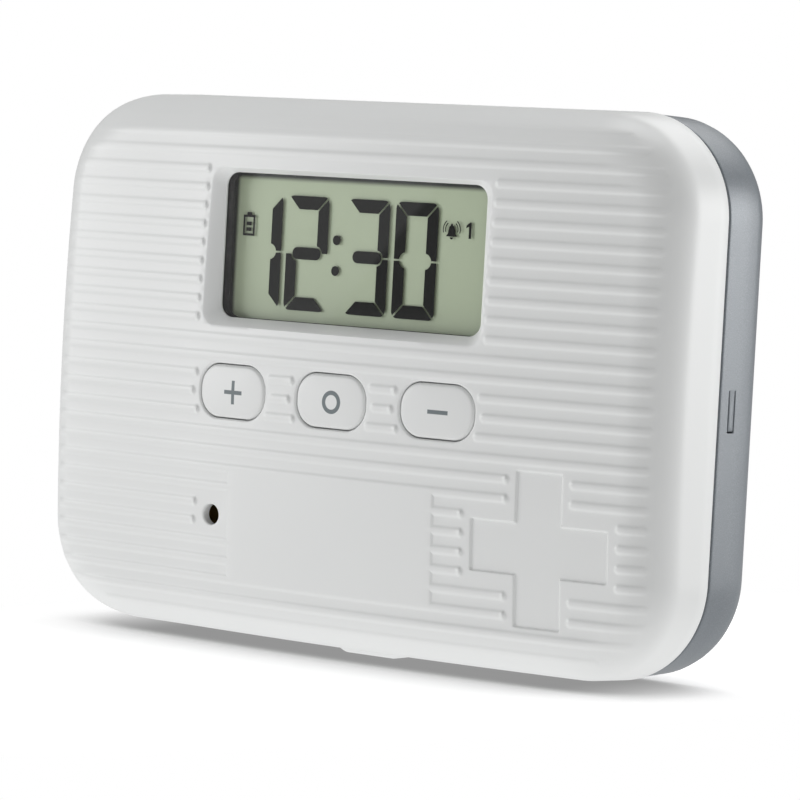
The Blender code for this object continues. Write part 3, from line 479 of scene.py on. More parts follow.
def rounded_distance(x, z, centre, half, corner):
    """Distance to a rectangle with rounded corners: how far a point lies outside the inner
    rectangle, less the corner radius, so it is negative inside."""
    across = np.abs(x - centre[0]) - (half[0] - corner)
    along = np.abs(z - centre[1]) - (half[1] - corner)
    outside = np.hypot(np.maximum(across, 0), np.maximum(along, 0))
    return outside + np.minimum(np.maximum(across, along), 0) - corner


def crown(x, z):
    """Depth of the pillow behind its highest point: a paraboloid, steeper to the sides, that
    levels off towards its left end."""
    levelled = left_levelling * eased((-x - left_levelling_from) / left_levelling_over)
    return side_drop * (x / side_drop_at) ** 2 + top_drop * ((z - apex_z) / top_drop_at) ** 2 - levelled


def from_side(x, z):
    """How far in from the lid's side a point of the face lies."""
    half = (lid_half_width - lid_draft, lid_half_height - lid_draft)
    return -rounded_distance(x, z, (0, middle_z), half, outline_corner - lid_draft)


def edge_depth(x, z):
    """Depth that the rounded edge adds: a quarter circle over the distance in from the side."""
    near = np.clip(edge_round - from_side(x, z), 0, edge_round)
    return edge_round - np.sqrt(edge_round**2 - near**2)


def row_middle(row):
    return first_rib_top - row * rib_pitch - rib_width / 2


def smooth_spans(row):
    """The stretches of a row that stay smooth, as pairs of X: a bar at the display and the cross,
    and the chords of a round at the buttons and the sound hole."""
    middle = row_middle(row)
    spans = []
    if display_clear_low < middle < display_clear_high:
        spans.append((-display_clear, display_clear))
    off_button = middle - button_z
    if abs(off_button) < button_clear_radius - rib_width / 2:
        half = button_clear_half - button_clear_radius + math.sqrt(button_clear_radius**2 - off_button**2)
        spans += [(x - half, x + half) for x in (-button_spacing, 0, button_spacing)]
    off_hole = middle - sound_hole[1]
    if abs(off_hole) < sound_clear - rib_width / 2:
        spans.append((sound_hole[0] - math.sqrt(sound_clear**2 - off_hole**2), -label_reach))
    off_cross = abs(middle - cross_place[1])
    if off_cross < cross_reach:
        half = cross_reach if off_cross < cross_half + cross_clear else cross_half
        spans.append((cross_place[0] - half - cross_clear, cross_place[0] + half + cross_clear))
    return sorted(spans)


def row_ribs(row):
    """The ribs of one row, as pairs of X."""
    inner_ends = [x for span in smooth_spans(row) for x in span]
    left_reach = left_corner_reaches.get(row, rib_left_reach)
    ends = [-left_reach, *inner_ends, corner_reaches.get(row, rib_reach)]
    return [pair for pair in zip(ends[::2], ends[1::2]) if pair[1] - pair[0] > rib_width]


ribs = [row_ribs(row) for row in range(rib_count)]
most_ribs = max(len(row) for row in ribs)
rib_table = np.full((rib_count, most_ribs, 2), np.nan)
for row, pairs in enumerate(ribs):
    rib_table[row, : len(pairs)] = pairs


def rib_form(x, z):
    """Distance to the nearest rib of the point's own row, each a bar with half-round ends, and
    how near the point is to the right end of a rib or of the label field, from 0 to 1."""
    row = np.clip(np.round((row_middle(0) - z) / rib_pitch), 0, rib_count - 1).astype(int)
    above = z - row_middle(0) + row * rib_pitch
    found = np.full(x.shape, 1.0)
    label_end = np.clip(1 - np.abs(x - label_reach + rib_end_inset) / rib_end_length, 0, 1)
    near_end = label_end_share * label_end
    for number in range(most_ribs):
        low, high = rib_table[row, number].T
        beside = np.maximum(np.abs(x - (low + high) / 2) - (high - low) / 2 + rib_width / 2, 0)
        found = np.fmin(found, np.hypot(beside, above) - rib_width / 2)
        end = np.where((high > raised_ends_to) | (high == -label_reach), np.nan, high)
        near_end = np.fmax(near_end, np.clip(1 - np.abs(x - end + rib_end_inset) / rib_end_length, 0, 1))
    return found, near_end


label_high = row_middle(label_rows[0]) + rib_width / 2
label_low = row_middle(label_rows[1]) - rib_width / 2
label_middle = (0, (label_low + label_high) / 2)
label_half = (label_reach, (label_high - label_low) / 2)


def cross_distance(x, z):
    """Distance to the cross: the nearer of its two bars."""
    upright = rounded_distance(x, z, cross_place, (cross_half, cross_reach), cross_corner)
    return np.minimum(upright, rounded_distance(x, z, cross_place, (cross_reach, cross_half), cross_corner))


def soft_step(distance, width):
    """1 well inside a form and 0 well outside, turning over like a hyperbolic tangent."""
    return 0.5 - 0.5 * np.tanh(distance / width)


def face_depth(x, z):
    """Depth of the whole face: pillow and rounded edge, less the raised forms, which are lower
    at the rim and at the upper left and highest at their right ends, plus the cross."""
    distance, near_end = rib_form(x, z)
    distance = np.minimum(distance, rounded_distance(x, z, label_middle, label_half, label_corner))
    at_rim = np.clip((rim_fade_from - from_side(x, z)) / rim_fade_over, 0, 1)
    leftward = np.clip((left_fade_from - x) / left_fade_over, 0, 1)
    upward = np.clip((z - apex_z + up_fade_from) / up_fade_over, 0, 1)
    height = rib_rise * (1 - leftward * (left_fade + upward * (1 - up_fade_bend * upward)))
    height = height * (1 - near_end**2) + rib_end_rise * near_end**2
    height *= 1 - rim_fade * at_rim**2 * (1 - rim_fade_kept_left * leftward)
    raised = height * soft_step(distance, rib_edge_width)
    sunk = cross_depth * soft_step(cross_distance(x, z), cross_edge_width)
    return crown(x, z) + edge_depth(x, z) - raised + sunk


def filled(points, loops, beyond_edge, links=()):
    """Delaunay triangles over loops of outline points and loose points between them, keeping
    those whose middle isn't beyond an edge. The third result says where each loop's points went.
    Links are pairs of loose points that an edge has to join."""
    flat = np.concatenate([*loops, points])
    starts = np.cumsum([0] + [len(loop) for loop in loops])
    runs = [np.arange(start, start + len(loop)) for start, loop in zip(starts, loops)]
    edges = [np.stack([run, np.roll(run, -1)], axis=1) for run in runs]
    if len(links):
        edges.append(np.asarray(links) + starts[-1])
    edges = np.concatenate(edges).tolist()
    made = delaunay_2d_cdt([tuple(point) for point in (flat * 1000).tolist()], edges, [], 0, 1e-7, True)
    new_points = np.array([point[:] for point in made[0]]) / 1000
    triangles = np.array(made[2])
    order = np.full(len(flat), -1)
    for new, sources in enumerate(made[3]):
        order[list(sources)] = new
    triangles = triangles[beyond_edge(*new_points[triangles].mean(axis=1).T) < 0]
    return new_points, triangles, [order[run] for run in runs]


hole_round = 0.0003
sound_wall = 0.0008
sound_depth = 0.0026
rim_low = window_low - 0.48 * rib_pitch
rim_high = window_high + 0.25 * rib_pitch
rim_half = (window_reach + 0.74 * rib_pitch, (rim_high - rim_low) / 2)
rim_centre = (0, (rim_high + rim_low) / 2)
rim_corner = 0.0021
window_shift = 0.00025
window_centre = (window_shift, (window_low + window_high) / 2)
window_half = (window_reach + window_shift, (window_high - window_low) / 2)
ledge_depth = window_depth + 0.00025
ledge_width = 0.0016
block_depth = 0.0039
block_width = 0.0037
block_corner = 0.0026
block_half = (window_half[0] + block_width, window_half[1] + block_width)
cut_inset = lid_draft + edge_round * (1 - math.sin(math.radians(48)))
lid_half = (lid_half_width, lid_half_height)
body_places, body_ways = outline_loop((0, middle_z), lid_half, outline_corner, count=560)
rim_places, rim_ways = outline_loop(rim_centre, rim_half, rim_corner, count=300)
button_middles = [(x, button_z) for x in (-button_spacing, 0, button_spacing)]
holes = [
    (*outline_loop(middle, button_hole_half, button_hole_corner, count=110), button_hole_corner)
    for middle in button_middles
]
sound_half = (sound_hole_radius, sound_hole_radius)
holes += [(*outline_loop(sound_hole, sound_half, sound_hole_radius, count=40), sound_hole_radius)]
loops = [body_places + body_ways * (outline_corner - cut_inset), rim_places + rim_ways * rim_corner]
loops += [hole_places + hole_ways * (radius + hole_round) for hole_places, hole_ways, radius in holes]


def beyond(x, z, inset, display, button_growth, sound_growth):
    """How far a point lies beyond a face of the lid: outside its edge, which is set in, or inside
    one of its openings, which are grown. The display's opening is a centre, half and corner."""
    half = (lid_half_width - inset, lid_half_height - inset)
    found = rounded_distance(x, z, (0, middle_z), half, outline_corner - inset)
    found = np.maximum(found, -rounded_distance(x, z, *display))
    for middle in button_middles:
        hole = rounded_distance(x, z, middle, button_hole_half, button_hole_corner)
        found = np.maximum(found, button_growth - hole)
    hole = np.hypot(x - sound_hole[0], z - sound_hole[1]) - sound_hole_radius
    return np.maximum(found, sound_growth - hole)


def face_distance(x, z):
    return beyond(x, z, cut_inset, (rim_centre, rim_half, rim_corner), hole_round, hole_round)


def underside_distance(x, z):
    return beyond(x, z, lid_wall, (window_centre, block_half, block_corner), 0, sound_wall)


def patch(across, up):
    """Every pair of an X and a Z, one in a row."""
    return np.stack([part.ravel() for part in np.meshgrid(across, up)], axis=1)


rib_edge_steps = np.array([-0.62, -0.42, -0.28, -0.18, -0.08, 0.0, 0.08, 0.18, 0.28, 0.42]) / 1000
across_rib = np.concatenate([rib_edge_steps, [rib_width / 2], rib_width - rib_edge_steps[::-1]])
row_lines = (first_rib_top - np.arange(rib_count)[:, None] * rib_pitch - across_rib[None, :]).ravel()
edge_lines = np.arange(1, 9) * 0.0004
row_lines = np.concatenate([row_lines, row_lines.max() + edge_lines, row_lines.min() - edge_lines])
column_reach = 0.0465
end_lines = column_reach + np.arange(1, 12) * 0.0004
column_lines = np.concatenate([-end_lines, np.linspace(-column_reach, column_reach, 60), end_lines])
loose = [patch(column_lines, row_lines)]
end_steps = np.array([-0.95, -0.7, -0.52, -0.38, -0.26, -0.16, -0.08, 0.0, 0.08, 0.16, 0.26, 0.4, 0.6]) / 1000
for row, pairs in enumerate(ribs):
    for end, way in [(pair[0], -1) for pair in pairs] + [(pair[1], 1) for pair in pairs]:
        if abs(end) != label_reach or not label_rows[0] <= row <= label_rows[1]:
            loose.append(patch(end + way * end_steps, first_rib_top - row * rib_pitch - across_rib[2:19]))
label_steps = np.array([-0.3, -0.18, -0.08, 0.0, 0.08, 0.18, 0.3]) / 1000
beside_label = (row_lines < label_high + rib_width / 2) & (row_lines > label_low - rib_width / 2)
walls = [(side * label_reach, label_steps, beside_label) for side in (-1, 1)]
cross_steps = np.array([-0.27, -0.16, -0.08, 0.0, 0.08, 0.16, 0.27]) / 1000
quarter_turn = np.array([[0, 1], [-1, 0]])
arm = np.array([[cross_reach, -cross_half], [cross_reach, cross_half], [cross_half, cross_half]])
corners = np.concatenate([arm @ np.linalg.matrix_power(quarter_turn, turns) for turns in range(4)])
sides = np.roll(corners, -1, axis=0) - corners
outward = (sides @ -quarter_turn) / np.linalg.norm(sides, axis=1)[:, None]
strip = corners[:, None] + sides[:, None] * np.linspace(0, 1, 22)[None, :, None]
loose += [(strip + outward[:, None] * step).reshape(-1, 2) + cross_place for step in cross_steps]
beside_cross = np.abs(row_lines - cross_place[1]) < cross_reach + 0.0006
cross_walls = (-cross_reach, -cross_half, cross_half, cross_reach)
walls += [(cross_place[0] + x, cross_steps, beside_cross) for x in cross_walls]
loose += [patch(x + steps, row_lines[beside]) for x, steps, beside in walls]
loose = np.concatenate(loose)
loose = loose[face_distance(*loose.T) < -0.00009]
loose = np.unique(np.round(loose, 8), axis=0)


def row_links(points):
    """Pairs of points that follow each other on one level with nothing but face between them."""
    along = np.lexsort((points[:, 0], points[:, 1]))
    near, far = along[:-1], along[1:]
    gap = points[far] - points[near]
    kept = (np.abs(gap[:, 1]) < 1e-9) & (gap[:, 0] < 0.0017)
    near, far, gap = near[kept], far[kept], gap[kept]
    between = points[near] + gap * np.linspace(0, 1, 7)[:, None, None]
    clear = (face_distance(between[..., 0], between[..., 1]) < -0.00002).all(axis=0)
    return np.stack([near[clear], far[clear]], axis=1)


class Moulding:
    """Points and faces of one moulding, gathered loop by loop."""

    def __init__(self):
        self.points = []
        self.faces = []
        self.count = 0

    def add(self, points):
        self.points.append(points)
        self.count += len(points)
        return np.arange(self.count - len(points), self.count)

    def band(self, near, far, outward=True):
        """Squares between two loops, facing away from the loops' middle or towards it."""
        after_near, after_far = np.roll(near, -1), np.roll(far, -1)
        squares = [near, far, after_far, after_near] if outward else [near, after_near, after_far, far]
        self.faces += np.stack(squares, axis=1).tolist()

    def carried(self, near, points, outward=True):
        """Adds a loop and joins it to the one before, or closes it if there is none."""
        far = self.add(points)
        if near is None:
            self.faces.append(far.tolist())
        else:
            self.band(near, far, outward)
        return far


def rolled(places, ways, radius, edge, angle):
    """A loop on an edge that rolls over in a quarter circle: its radius less edge times 1 - sin,
    and sunk below the pillow by the size of edge times 1 - cos."""
    flat = places + ways * (radius - edge * (1 - math.sin(angle)))
    return at_depth(flat, apex_y + crown(*flat.T) + abs(edge) * (1 - math.cos(angle)))


cover = Moulding()
skin, skin_faces, edges = filled(loose, loops, face_distance, row_links(loose))
cover.add(at_depth(skin, apex_y + face_depth(*skin.T)))
cover.faces += skin_faces.tolist()
near = edges[0]
for angle in np.radians([54, 60, 66, 72, 78, 84, 90]):
    near = cover.carried(near, rolled(body_places, body_ways, outline_corner - lid_draft, edge_round, angle))
start = cover.points[-1][:, 1]
run = lid_rear - 0.00012 - start
side_loops = [(lid_draft * (1 - share), start + run * share) for share in (0.3, 0.65, 1)]
side_loops += [(0.00004, lid_rear - 0.00003), (0.00014, lid_rear), (lid_wall, lid_rear)]
for inset, y in side_loops:
    near = cover.carried(near, at_depth(body_places + body_ways * (outline_corner - inset), y))
inner_edges = [near]
cover.points = [widened(part) for part in cover.points[:-1]] + cover.points[-1:]
scales = [(np.array(window_half) + grown) / rim_half for grown in (0, ledge_width, block_width)]
rim_flat = rim_places + rim_ways * rim_corner - rim_centre
rim_depth = face_depth(*(rim_flat + rim_centre).T)
near = edges[1]
for share in (0.06, 0.14, 0.25, 0.4, 0.6, 0.8, 0.93, 1.0):
    centre = (1 - share) * np.array(rim_centre) + share * np.array(window_centre)
    flat = rim_flat * (1 - share + share * scales[0]) + centre
    depth = rim_depth + (window_depth - rim_depth) * share**1.25
    near = cover.carried(near, at_depth(flat, apex_y + depth), outward=False)
for number, depth in ((0, ledge_depth), (1, ledge_depth), (1, block_depth), (2, block_depth)):
    loop = at_depth(rim_flat * scales[number] + window_centre, apex_y + depth)
    near = cover.carried(near, loop, outward=False)
inner_edges.append(near)
inner_loops = [body_places + body_ways * (outline_corner - lid_wall), rim_flat * scales[2] + window_centre]
for (hole_places, hole_ways, radius), near in zip(holes, edges[2:]):
    for angle in np.radians([20, 40, 65, 90]):
        near = cover.carried(near, rolled(hole_places, hole_ways, radius, -hole_round, angle), outward=False)
    if radius == sound_hole_radius:
        for radius in (sound_hole_radius, sound_hole_radius + sound_wall):
            loop = at_depth(hole_places + hole_ways * radius, apex_y + sound_depth)
            near = cover.carried(near, loop, outward=False)
    inner_edges.append(near)
    inner_loops.append(hole_places + hole_ways * radius)
coarse = patch(np.linspace(-0.05, 0.05, 26), np.linspace(0.003, 0.074, 19))
coarse = coarse[underside_distance(*coarse.T) < -0.001]
inner, inner_faces, inner_rings = filled(coarse, inner_loops, underside_distance)
base = cover.count
cover.add(at_depth(inner, apex_y + crown(*inner.T) + edge_depth(*inner.T) + lid_wall))
cover.faces += (inner_faces[:, ::-1] + base).tolist()
for number, (near, far) in enumerate(zip(inner_edges, inner_rings)):
    cover.band(near, base + far, outward=number == 0)
lid_white = moulded("lid_white", (0.8, 0.81, 0.805), 0.4, grain=5000, relief=0.000012)
points = np.concatenate(cover.points)
add_piece("lid_moulding", points, cover.faces, lid_white, "lid", ["front_cover"], sharp=42)


# Hinge ears: two lugs of the lid that reach back round the pins. They are moulded with the lid, in
# the same white plastic.
def prism_along(profile, axis, low, high):
    """Points and outward faces of a closed outline carried straight along X or Y. The outline is
    anticlockwise in the other two coordinates, taken in order."""
    profile = np.asarray(profile)
    count = len(profile)
    points = []
    for end in (low, high):
        columns = list(profile.T)
        columns.insert(axis, np.full(count, end))
        points.append(np.stack(columns, axis=1))
    index = np.arange(count)
    after = (index + 1) % count
    sides = np.stack([index, after, after + count, index + count], axis=1)
    faces = [*sides.tolist(), index[::-1].tolist(), (index + count).tolist()]
    if axis == 1:
        faces = [face[::-1] for face in faces]
    return np.concatenate(points), faces


def arc(start, end, parts):
    """Points of a circle of radius 1, the cosine and sine of angles between two in radians."""
    angle = np.linspace(start, end, parts)
    return np.stack([np.cos(angle), np.sin(angle)], axis=1)


ear_radius = 0.0017
ear_front = lid_rear - 0.0018
ear_half_width = 0.003
ear_round = arc(-math.pi / 2, math.pi / 2, 17) * ear_radius + (hinge_y, hinge_z)
ear_profile = [(ear_front, hinge_z - ear_radius), *ear_round, (ear_front, hinge_z + ear_radius)]
for side, name in ((-1, "left"), (1, "right")):
    points, faces = prism_along(ear_profile, 0, side * ear_x - ear_half_width, side * ear_x + ear_half_width)
    ear = add_piece(f"hinge_ear_{name}", points, faces, lid_white, "lid", sharp=50)
    softened(ear, 0.0002)


# Thumb lip: a low ridge under the lid's lower edge that a thumb pushes to open the box. It is
# moulded with the lid, and swells in from each end as a quarter of a sine wave.
lip_drop = 0.00088
lip_half = 0.0061
swell_length = 0.0022
lip_x = np.linspace(-lip_half, lip_half, 41)
swell = np.sin(np.clip((lip_half - np.abs(lip_x)) / swell_length, 0, 1) * math.pi / 2)
floor_z = middle_z - lid_half_height
lip_profile = [(-0.0046, 0.001, 0), (-0.0046, 0, 0), (-0.00435, 0, 0.65), (-0.0041, 0, 1)]
lip_profile += [(-0.0001, 0, 1), (0, 0, 0.84), (0, 0.001, 0)]
along, rise, share = np.array(lip_profile).T[:, :, None]
lip_axes = np.broadcast_arrays(lip_x, lid_rear + along, floor_z + rise - lip_drop * share * swell)
points = np.stack(lip_axes, axis=2).reshape(-1, 3)
faces = (grid_faces(len(lip_profile) + 1, len(lip_x), closed=False) % len(points)).tolist()
lip_ends = np.arange(len(lip_profile)) * len(lip_x)
faces += [lip_ends[::-1].tolist(), (lip_ends + len(lip_x) - 1).tolist()]
add_piece("thumb_lip", points, faces, lid_white, "lid", sharp=50)


# Lid hook: a flat arm inside the lower edge that snaps behind the shell's rim. It is moulded with
# the lid.
hook_half = 0.0037
hook_z = floor_z + shell_inset + shell_draft + shell_wall + 0.0003
hook_low = (-hook_half, parting_y - 0.0012, hook_z)
points, faces = boxed(hook_low, (hook_half, parting_y + 0.0022, hook_z + 0.001))
softened(add_piece("lid_hook", points, faces, lid_white, "lid"), 0.00025)


# Push buttons: three satin caps, slightly crowned, that stand a little proud of the face. Each
# has a plain printed mark: a plus, a ring and a minus.
button_white = (0.78, 0.79, 0.785)
mark_grey = (0.155, 0.185, 0.195)
mark_reach = 0.00165
mark_half = 0.00028
mark_soft = 0.00004
ring_radius = 0.0013
ring_half = 0.0003
cap_gap = 0.00014
cap_half = tuple(half - cap_gap for half in button_hole_half)
cap_corner = button_hole_corner - cap_gap
cap_round = 0.0005
cap_dish = 0.00012
cap_setback = 0.00062
flange_width = 0.0009
flange_thickness = 0.0008
stem_radius = 0.0018
for name, middle in zip(("hour", "mode", "minute"), button_middles):
    low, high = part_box(f"{name}_button")
    front = low[1] + cap_setback - crown(*middle)
    cap_places, cap_ways = outline_loop(middle, cap_half, cap_corner, count=120)
    cap = Moulding()
    near = None
    for share in (0.08, 0.3, 0.55, 0.75, 0.9, 1.0):
        flat = (cap_places + cap_ways * (cap_corner - cap_round) - middle) * share + middle
        near = cap.carried(near, at_depth(flat, front + cap_dish * share**2 + crown(*flat.T)))
    for angle in np.radians([15, 30, 45, 60, 75, 90]):
        loop = rolled(cap_places, cap_ways, cap_corner, cap_round, angle)
        near = cap.carried(near, loop + (0, front + cap_dish - apex_y, 0))
    flange_corner = (abs(middle[0]) + button_hole_half[0] + flange_width, button_z - button_hole_half[1])
    flange_y = apex_y + crown(*flange_corner) + lid_wall + 0.0003
    flange_rear = flange_y + flange_thickness
    flange_radius = cap_corner + flange_width
    for radius, y in ((cap_corner, flange_y), (flange_radius, flange_y), (flange_radius, flange_rear)):
        near = cap.carried(near, at_depth(cap_places + cap_ways * radius, y))
    for y in (flange_rear, high[1]):
        near = cap.carried(near, at_depth(cap_ways * stem_radius + middle, y))
    cap.faces.append(near[::-1].tolist())
    finish = Finish(f"button_white_{name}", button_white, 0.42)
    across, _, up = finish.axes()
    beside = (across - (middle[0] + 0.0003)).size()
    above = (up - (button_z - 0.0001)).size()
    if name == "mode":
        radius = (beside * beside + above * above).power(0.5)
        mark = (ring_half - (radius - ring_radius).size()).above(0.0, mark_soft)
    else:
        mark = (mark_reach - beside).least(mark_half - above).above(0.0, mark_soft)
    if name == "hour":
        mark = mark.most((mark_reach - above).least(mark_half - beside).above(0.0, mark_soft))
    texture = finish.noise(5000)
    finish.feed(
        Base_Color=finish.mixed(mark, button_white, mark_grey),
        Roughness=0.38 + texture * 0.08 + mark * 0.1,
    )
    finish.bumped(texture, 0.2, 0.00001)
    body = f"{name}_button"
    add_piece(f"{name}_cap", np.concatenate(cap.points), cap.faces, finish, body, [body])


# Display: a clear window in the sloped recess, a black holder, and a grey-green liquid crystal
# glass. Its figures lie a little in front of the reflecting back, so they cast soft shadows.
window_clear = Finish("window_clear", (1.0, 1.0, 1.0), 0.03, Metallic=1.0)
glassy = window_clear.node("ShaderNodeBsdfTransparent", {}, {"Color": (0.97, 0.985, 0.975, 1)})
grazing = window_clear.node("ShaderNodeLayerWeight", {}, {"Blend": 0.5}, "Facing")
mirror = Value(window_clear, window_clear.shader.outputs[0])
glazed = window_clear.blended(grazing.power(5) * 0.9 + 0.01, glassy, mirror)
# Painted reflection: above a slanted line across the window's upper left, a faint white glow is mixed into
# the glass, standing in for the glare of a light on it.
across, _, up = window_clear.axes()
painted_glare_share = (up - 1.0891 * across).above(0.05014, 0.0002) * 0.009
painted_glare_light = window_clear.node("ShaderNodeEmission", {}, {"Color": (1, 1, 1, 1)})
window_clear.show(window_clear.blended(painted_glare_share, glazed, painted_glare_light))
dressed(window_clear, "display_lens")
dressed(moulded("frame_black", (0.03, 0.03, 0.031), 0.6, Specular_IOR_Level=0.1), "lcd_frame")
display_green = Finish("display_green", (0.49, 0.56, 0.41), 0.42)
shimmer = display_green.noise(2600) * 0.5 + display_green.noise(30) * 0.5
across, _, up = display_green.axes()
# Painted shade: along the window's left and top edges the glass turns near black in a soft band, standing in
# for the shadow that the recess casts on it.
clear = (across + window_reach).above(0.0004, 0.0004) * (window_high - up).above(0.00065, 0.0004)
fresh = display_green.mixed(shimmer, (0.5, 0.545, 0.4), (0.53, 0.575, 0.42))
display_green.feed(
    Base_Color=display_green.mixed(clear, (0.015, 0.016, 0.014), fresh),
    Roughness=0.38 + shimmer * 0.08,
)
dressed(display_green, "lcd_panel")

figure_dark = Finish("figure_dark", (0.01, 0.009, 0.0095), 0.6, Specular_IOR_Level=0.15)
shimmer = figure_dark.noise(1500)
figure_dark.feed(
    Base_Color=figure_dark.mixed(shimmer, (0.009, 0.008, 0.0085), (0.013, 0.011, 0.012)),
    Roughness=0.55 + shimmer * 0.1,
)
figure_front = apex_y + 0.0045
figure_back = apex_y + 0.00452
digit_half = (0.00365, 0.00795)
digit_middle = apex_z + 0.01602
digit_corner = 0.001
stroke = 0.00185
half_gap = 0.00013
slant = half_gap * 1.4
pill_radius = 0.00084
pill_inset = 0.00115
notch_radius = pill_radius + 2 * half_gap
notch_x = digit_half[0] - pill_inset - pill_radius
inner_x = digit_half[0] - stroke
inner_z = digit_half[1] - stroke
flip_x = np.array([-1, 1])
flip_z = np.array([1, -1])


def corner_arc(start, end, parts):
    """The rounded outer corner at the upper right of a digit, between two angles in degrees."""
    middle = (digit_half[0] - digit_corner, digit_half[1] - digit_corner)
    return arc(math.radians(start), math.radians(end), parts) * digit_corner + middle


notch_angle = math.acos((inner_x - notch_x) / notch_radius)
notch = arc(math.asin(half_gap / notch_radius), notch_angle, 6) * notch_radius + (notch_x, 0)
upper_right = [corner_arc(37, 0, 5), [(digit_half[0], half_gap)], notch, [(inner_x, inner_z - slant)]]
upper_right = np.concatenate(upper_right)[::-1]
lower_edge = [(-inner_x + slant, inner_z), (inner_x - slant, inner_z)]
top = np.concatenate([corner_arc(53, 90, 4), corner_arc(90, 53, 4) * flip_x, lower_edge])
pill = arc(-math.pi / 2, math.pi / 2, 9) * pill_radius + (notch_x, 0)
strokes = {
    "a": top,
    "b": upper_right,
    "c": (upper_right * flip_z)[::-1],
    "d": (top * flip_z)[::-1],
    "e": upper_right * flip_x * flip_z,
    "f": (upper_right * flip_x)[::-1],
    "g": np.concatenate([pill, -pill]),
}
digits = [("bc", -0.0174), ("abged", -0.00915), ("abgcd", 0.00152), ("abcdef", 0.00988)]
shapes = [strokes[part] + (middle_x, digit_middle) for parts, middle_x in digits for part in parts]
dot = arc(0, 2 * math.pi, 25)[:-1] * 0.00068
shapes += [dot + (-0.0039, apex_z + up) for up in (0.01815, 0.0139)]


def bar(low, high):
    """The corners of an upright bar, from its lower left and upper right ones."""
    return np.array([low, (high[0], low[1]), high, (low[0], high[1])])


def outline_bars(low, high, thick):
    """Four bars round a rectangle."""
    left, right = low[0] + thick, high[0] - thick
    bottom, top = low[1] + thick, high[1] - thick
    flat_bars = [bar(low, (high[0], bottom)), bar((low[0], top), high)]
    return flat_bars + [bar((low[0], bottom), (left, top)), bar((right, bottom), (high[0], top))]


# Small signs of the display: a battery at the left, a ringing bell and the figure 1 at the right.
battery_top = apex_z + 0.0209
shapes += outline_bars((-0.0208, apex_z + 0.018), (-0.0187, battery_top), 0.0003)
shapes += [bar((-0.0202, low_z), (-0.0193, low_z + 0.0005)) for low_z in (apex_z + 0.01865, apex_z + 0.01945)]
shapes.append(bar((-0.02015, battery_top), (-0.01935, battery_top + 0.0004)))
bell_x, bell_z = 0.01585, apex_z + 0.0205
bell_side = [(0.9, -0.85), (0.85, -0.7), (0.6, -0.45), (0.52, 0.1), (0.4, 0.5), (0.14, 0.68), (0.1, 0.9)]
bell_side = np.array(bell_side) / 1000
shapes.append(np.concatenate([bell_side, (bell_side * flip_x)[::-1]]) + (bell_x, bell_z))
shapes.append(arc(math.pi, 2 * math.pi, 9) * 0.00028 + (bell_x, bell_z - 0.00095))
for radius in (0.00105, 0.00142):
    for angle in (0.3, math.pi - 0.3):
        bow = arc(angle - 0.62, angle + 0.62, 9)
        bow = np.concatenate([bow * (radius + 0.00008), bow[::-1] * (radius - 0.00005)])
        shapes.append(bow + (bell_x, bell_z + 0.0001))
one = [(-0.1, -1.1), (0.3, -1.1), (0.3, 1.1), (0.05, 1.1), (-0.55, 0.65), (-0.55, 0.3), (-0.1, 0.55)]
shapes.append(np.array(one) / 1000 + (0.01885, apex_z + 0.0206))
figures = Moulding()
for shape in shapes:
    points, faces = prism_along(shape, 1, figure_front, figure_back)
    start = figures.add(points)[0]
    figures.faces += [[start + index for index in face] for face in faces]
points = np.concatenate(figures.points)
add_piece("display_figures", points, figures.faces, figure_dark, "lid")


# Works of the lid: strip connector, circuit board, keypad, resin drop over the chip, clock crystal,
# sounder and coin cell with its contacts. They are seen only when the lid is taken apart.
dressed(moulded("connector_pink", (0.6, 0.22, 0.26), 0.6), "lcd_connector")
board_mask = Finish("board_mask", (0.03, 0.22, 0.1), 0.35, Coat_Weight=0.4, Coat_Roughness=0.1)
sockets = {"Vector": board_mask.place, "Scale": 320}
tracks = board_mask.node("ShaderNodeTexVoronoi", {"feature": "DISTANCE_TO_EDGE"}, sockets, "Distance")
tracks = tracks.above(0.08, 0.02)
board_mask.feed(Base_Color=board_mask.mixed(tracks, (0.05, 0.32, 0.15), (0.02, 0.17, 0.075)))
dressed(board_mask, "circuit_board")
dressed(moulded("keypad_rubber", (0.45, 0.46, 0.48), 0.65), "keypad")
dressed(moulded("chip_resin", (0.02, 0.02, 0.022), 0.3, coat=0.3), "controller_chip")
dressed(plated("works_steel", (0.66, 0.66, 0.68), 0.25), "crystal_can", "coin_cell", "cell_clip")
dressed(plated("sheet_brass", (0.75, 0.58, 0.26), 0.3), "buzzer_disc", "cell_contact")


# Inner cover and battery door: white plates that close the lid's back, moulded like the lid and
# held by small steel screws.
dressed(moulded("inner_white", (0.79, 0.8, 0.8), 0.45), "inner_cover", "battery_door")
screws = [f"cover_screw_{number}" for number in (1, 2, 3, 4)]
screws += ["door_screw", "board_screw_left", "board_screw_right"]
dressed(plated("screw_steel", (0.55, 0.55, 0.57), 0.3), *screws)


# Studio: a white sweep that glows from below, and four soft lamps: one low on the left, one behind
# on the right, one above and one high behind. The camera sees the sweep as plain white, shaded
# close to the box, where little above it is open.
def glow(nodes, strength, kind="ShaderNodeEmission"):
    """An even white light."""
    return nodes.node(kind, {}, {"Color": (1, 1, 1, 1), "Strength": strength})


def chosen(nodes, ray, otherwise, shown):
    """One shader for rays of a kind and another for the rest."""
    return nodes.blended(nodes.node("ShaderNodeLightPath", {}, {}, ray), otherwise, shown)


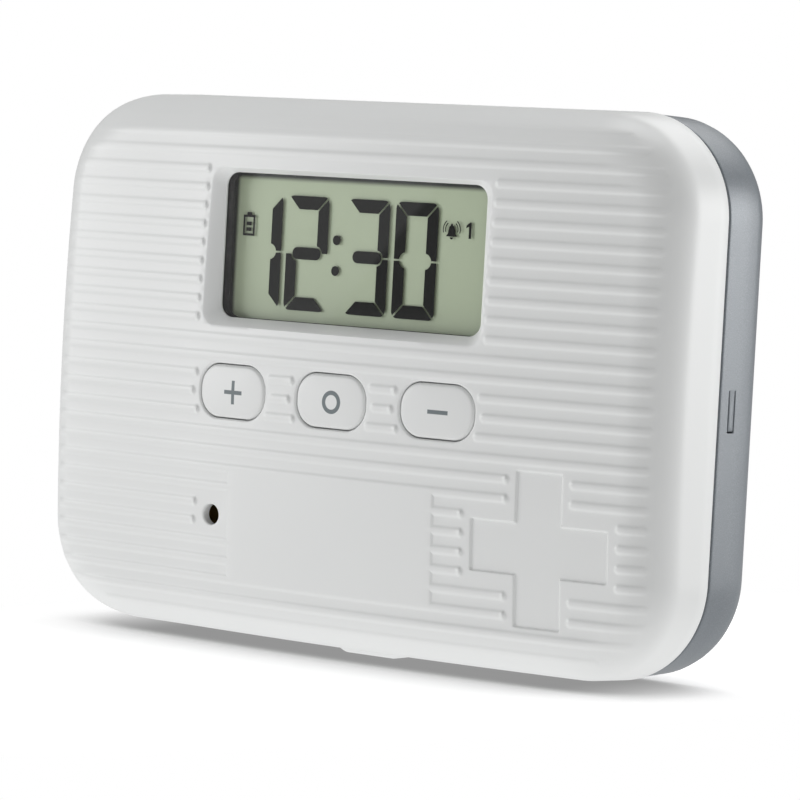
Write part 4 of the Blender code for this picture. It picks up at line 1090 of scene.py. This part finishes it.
def lamp(name, place, width, height, watts):
    """A soft rectangular lamp that faces the middle of the box."""
    data = bpy.data.lights.new(name, "AREA")
    data.shape = "RECTANGLE"
    data.size = width
    data.size_y = height
    data.energy = watts
    back = np.array(place) - (0, 0, 0.04)
    back = back / np.linalg.norm(back)
    right = np.cross((0, 0, 1), back)
    right = right / np.linalg.norm(right)
    stood(name, data, (right, np.cross(back, right), back), place)


floor_half = 1.2
floor_sides = [(-1, -1), (1, -1), (1, 1), (-1, 1)]
floor_corners = [(x * floor_half, y * floor_half, floor_z - lip_drop) for x, y in floor_sides]
floor_mesh = bpy.data.meshes.new("sweep")
floor_mesh.from_pydata(floor_corners, [], [(0, 1, 2, 3)])
floor = bpy.data.objects.new("sweep", floor_mesh)
scene.collection.objects.link(floor)
sweep = Finish("sweep_white", (1, 1, 1), 1.0)
floor_mesh.materials.append(sweep.material)
matt = sweep.node("ShaderNodeBsdfDiffuse", {}, {"Color": (1, 1, 1, 1)})
lit = sweep.node("ShaderNodeAddShader", {}, {0: matt, 1: glow(sweep, 0.35)})
openness = sweep.node("ShaderNodeAmbientOcclusion", {"samples": 16}, {"Distance": 0.027}, "AO")
near = sweep.blended(openness.above(0.49, 0.29), glow(sweep, 0.3), lit)
squeezed = sweep.node("ShaderNodeVectorMath", {"operation": "MULTIPLY"}, {0: sweep.place, 1: (1, 0.45, 0)})
away = sweep.node("ShaderNodeVectorMath", {"operation": "LENGTH"}, {0: squeezed}, "Value")
seen = sweep.blended(away.above(0.05, 0.016), near, glow(sweep, 1.0))
unseen = chosen(sweep, "Is Glossy Ray", glow(sweep, 1.04), glow(sweep, 0.6))
sweep.show(chosen(sweep, "Is Camera Ray", unseen, seen))

world = bpy.data.worlds.new("surround")
scene.world = world
world.use_nodes = True
surround = Nodes(world.node_tree)
sky, backdrop = [glow(surround, strength, "ShaderNodeBackground") for strength in (0.21, 1.0)]
surround.show(chosen(surround, "Is Camera Ray", sky, backdrop), "World Output")

lamp("left_lamp", (-0.56, -0.42, 0.1), 0.3, 0.2, 1.5)
lamp("right_lamp", (0.45, 0.54, 0.15), 0.3, 0.3, 1.9)
lamp("top_lamp", (0.0, 0.05, 0.8), 0.5, 0.4, 2.95)
lamp("rear_lamp", (0.0, 0.5, 0.5), 0.5, 0.3, 1.0)

scene.view_settings.view_transform = "Standard"
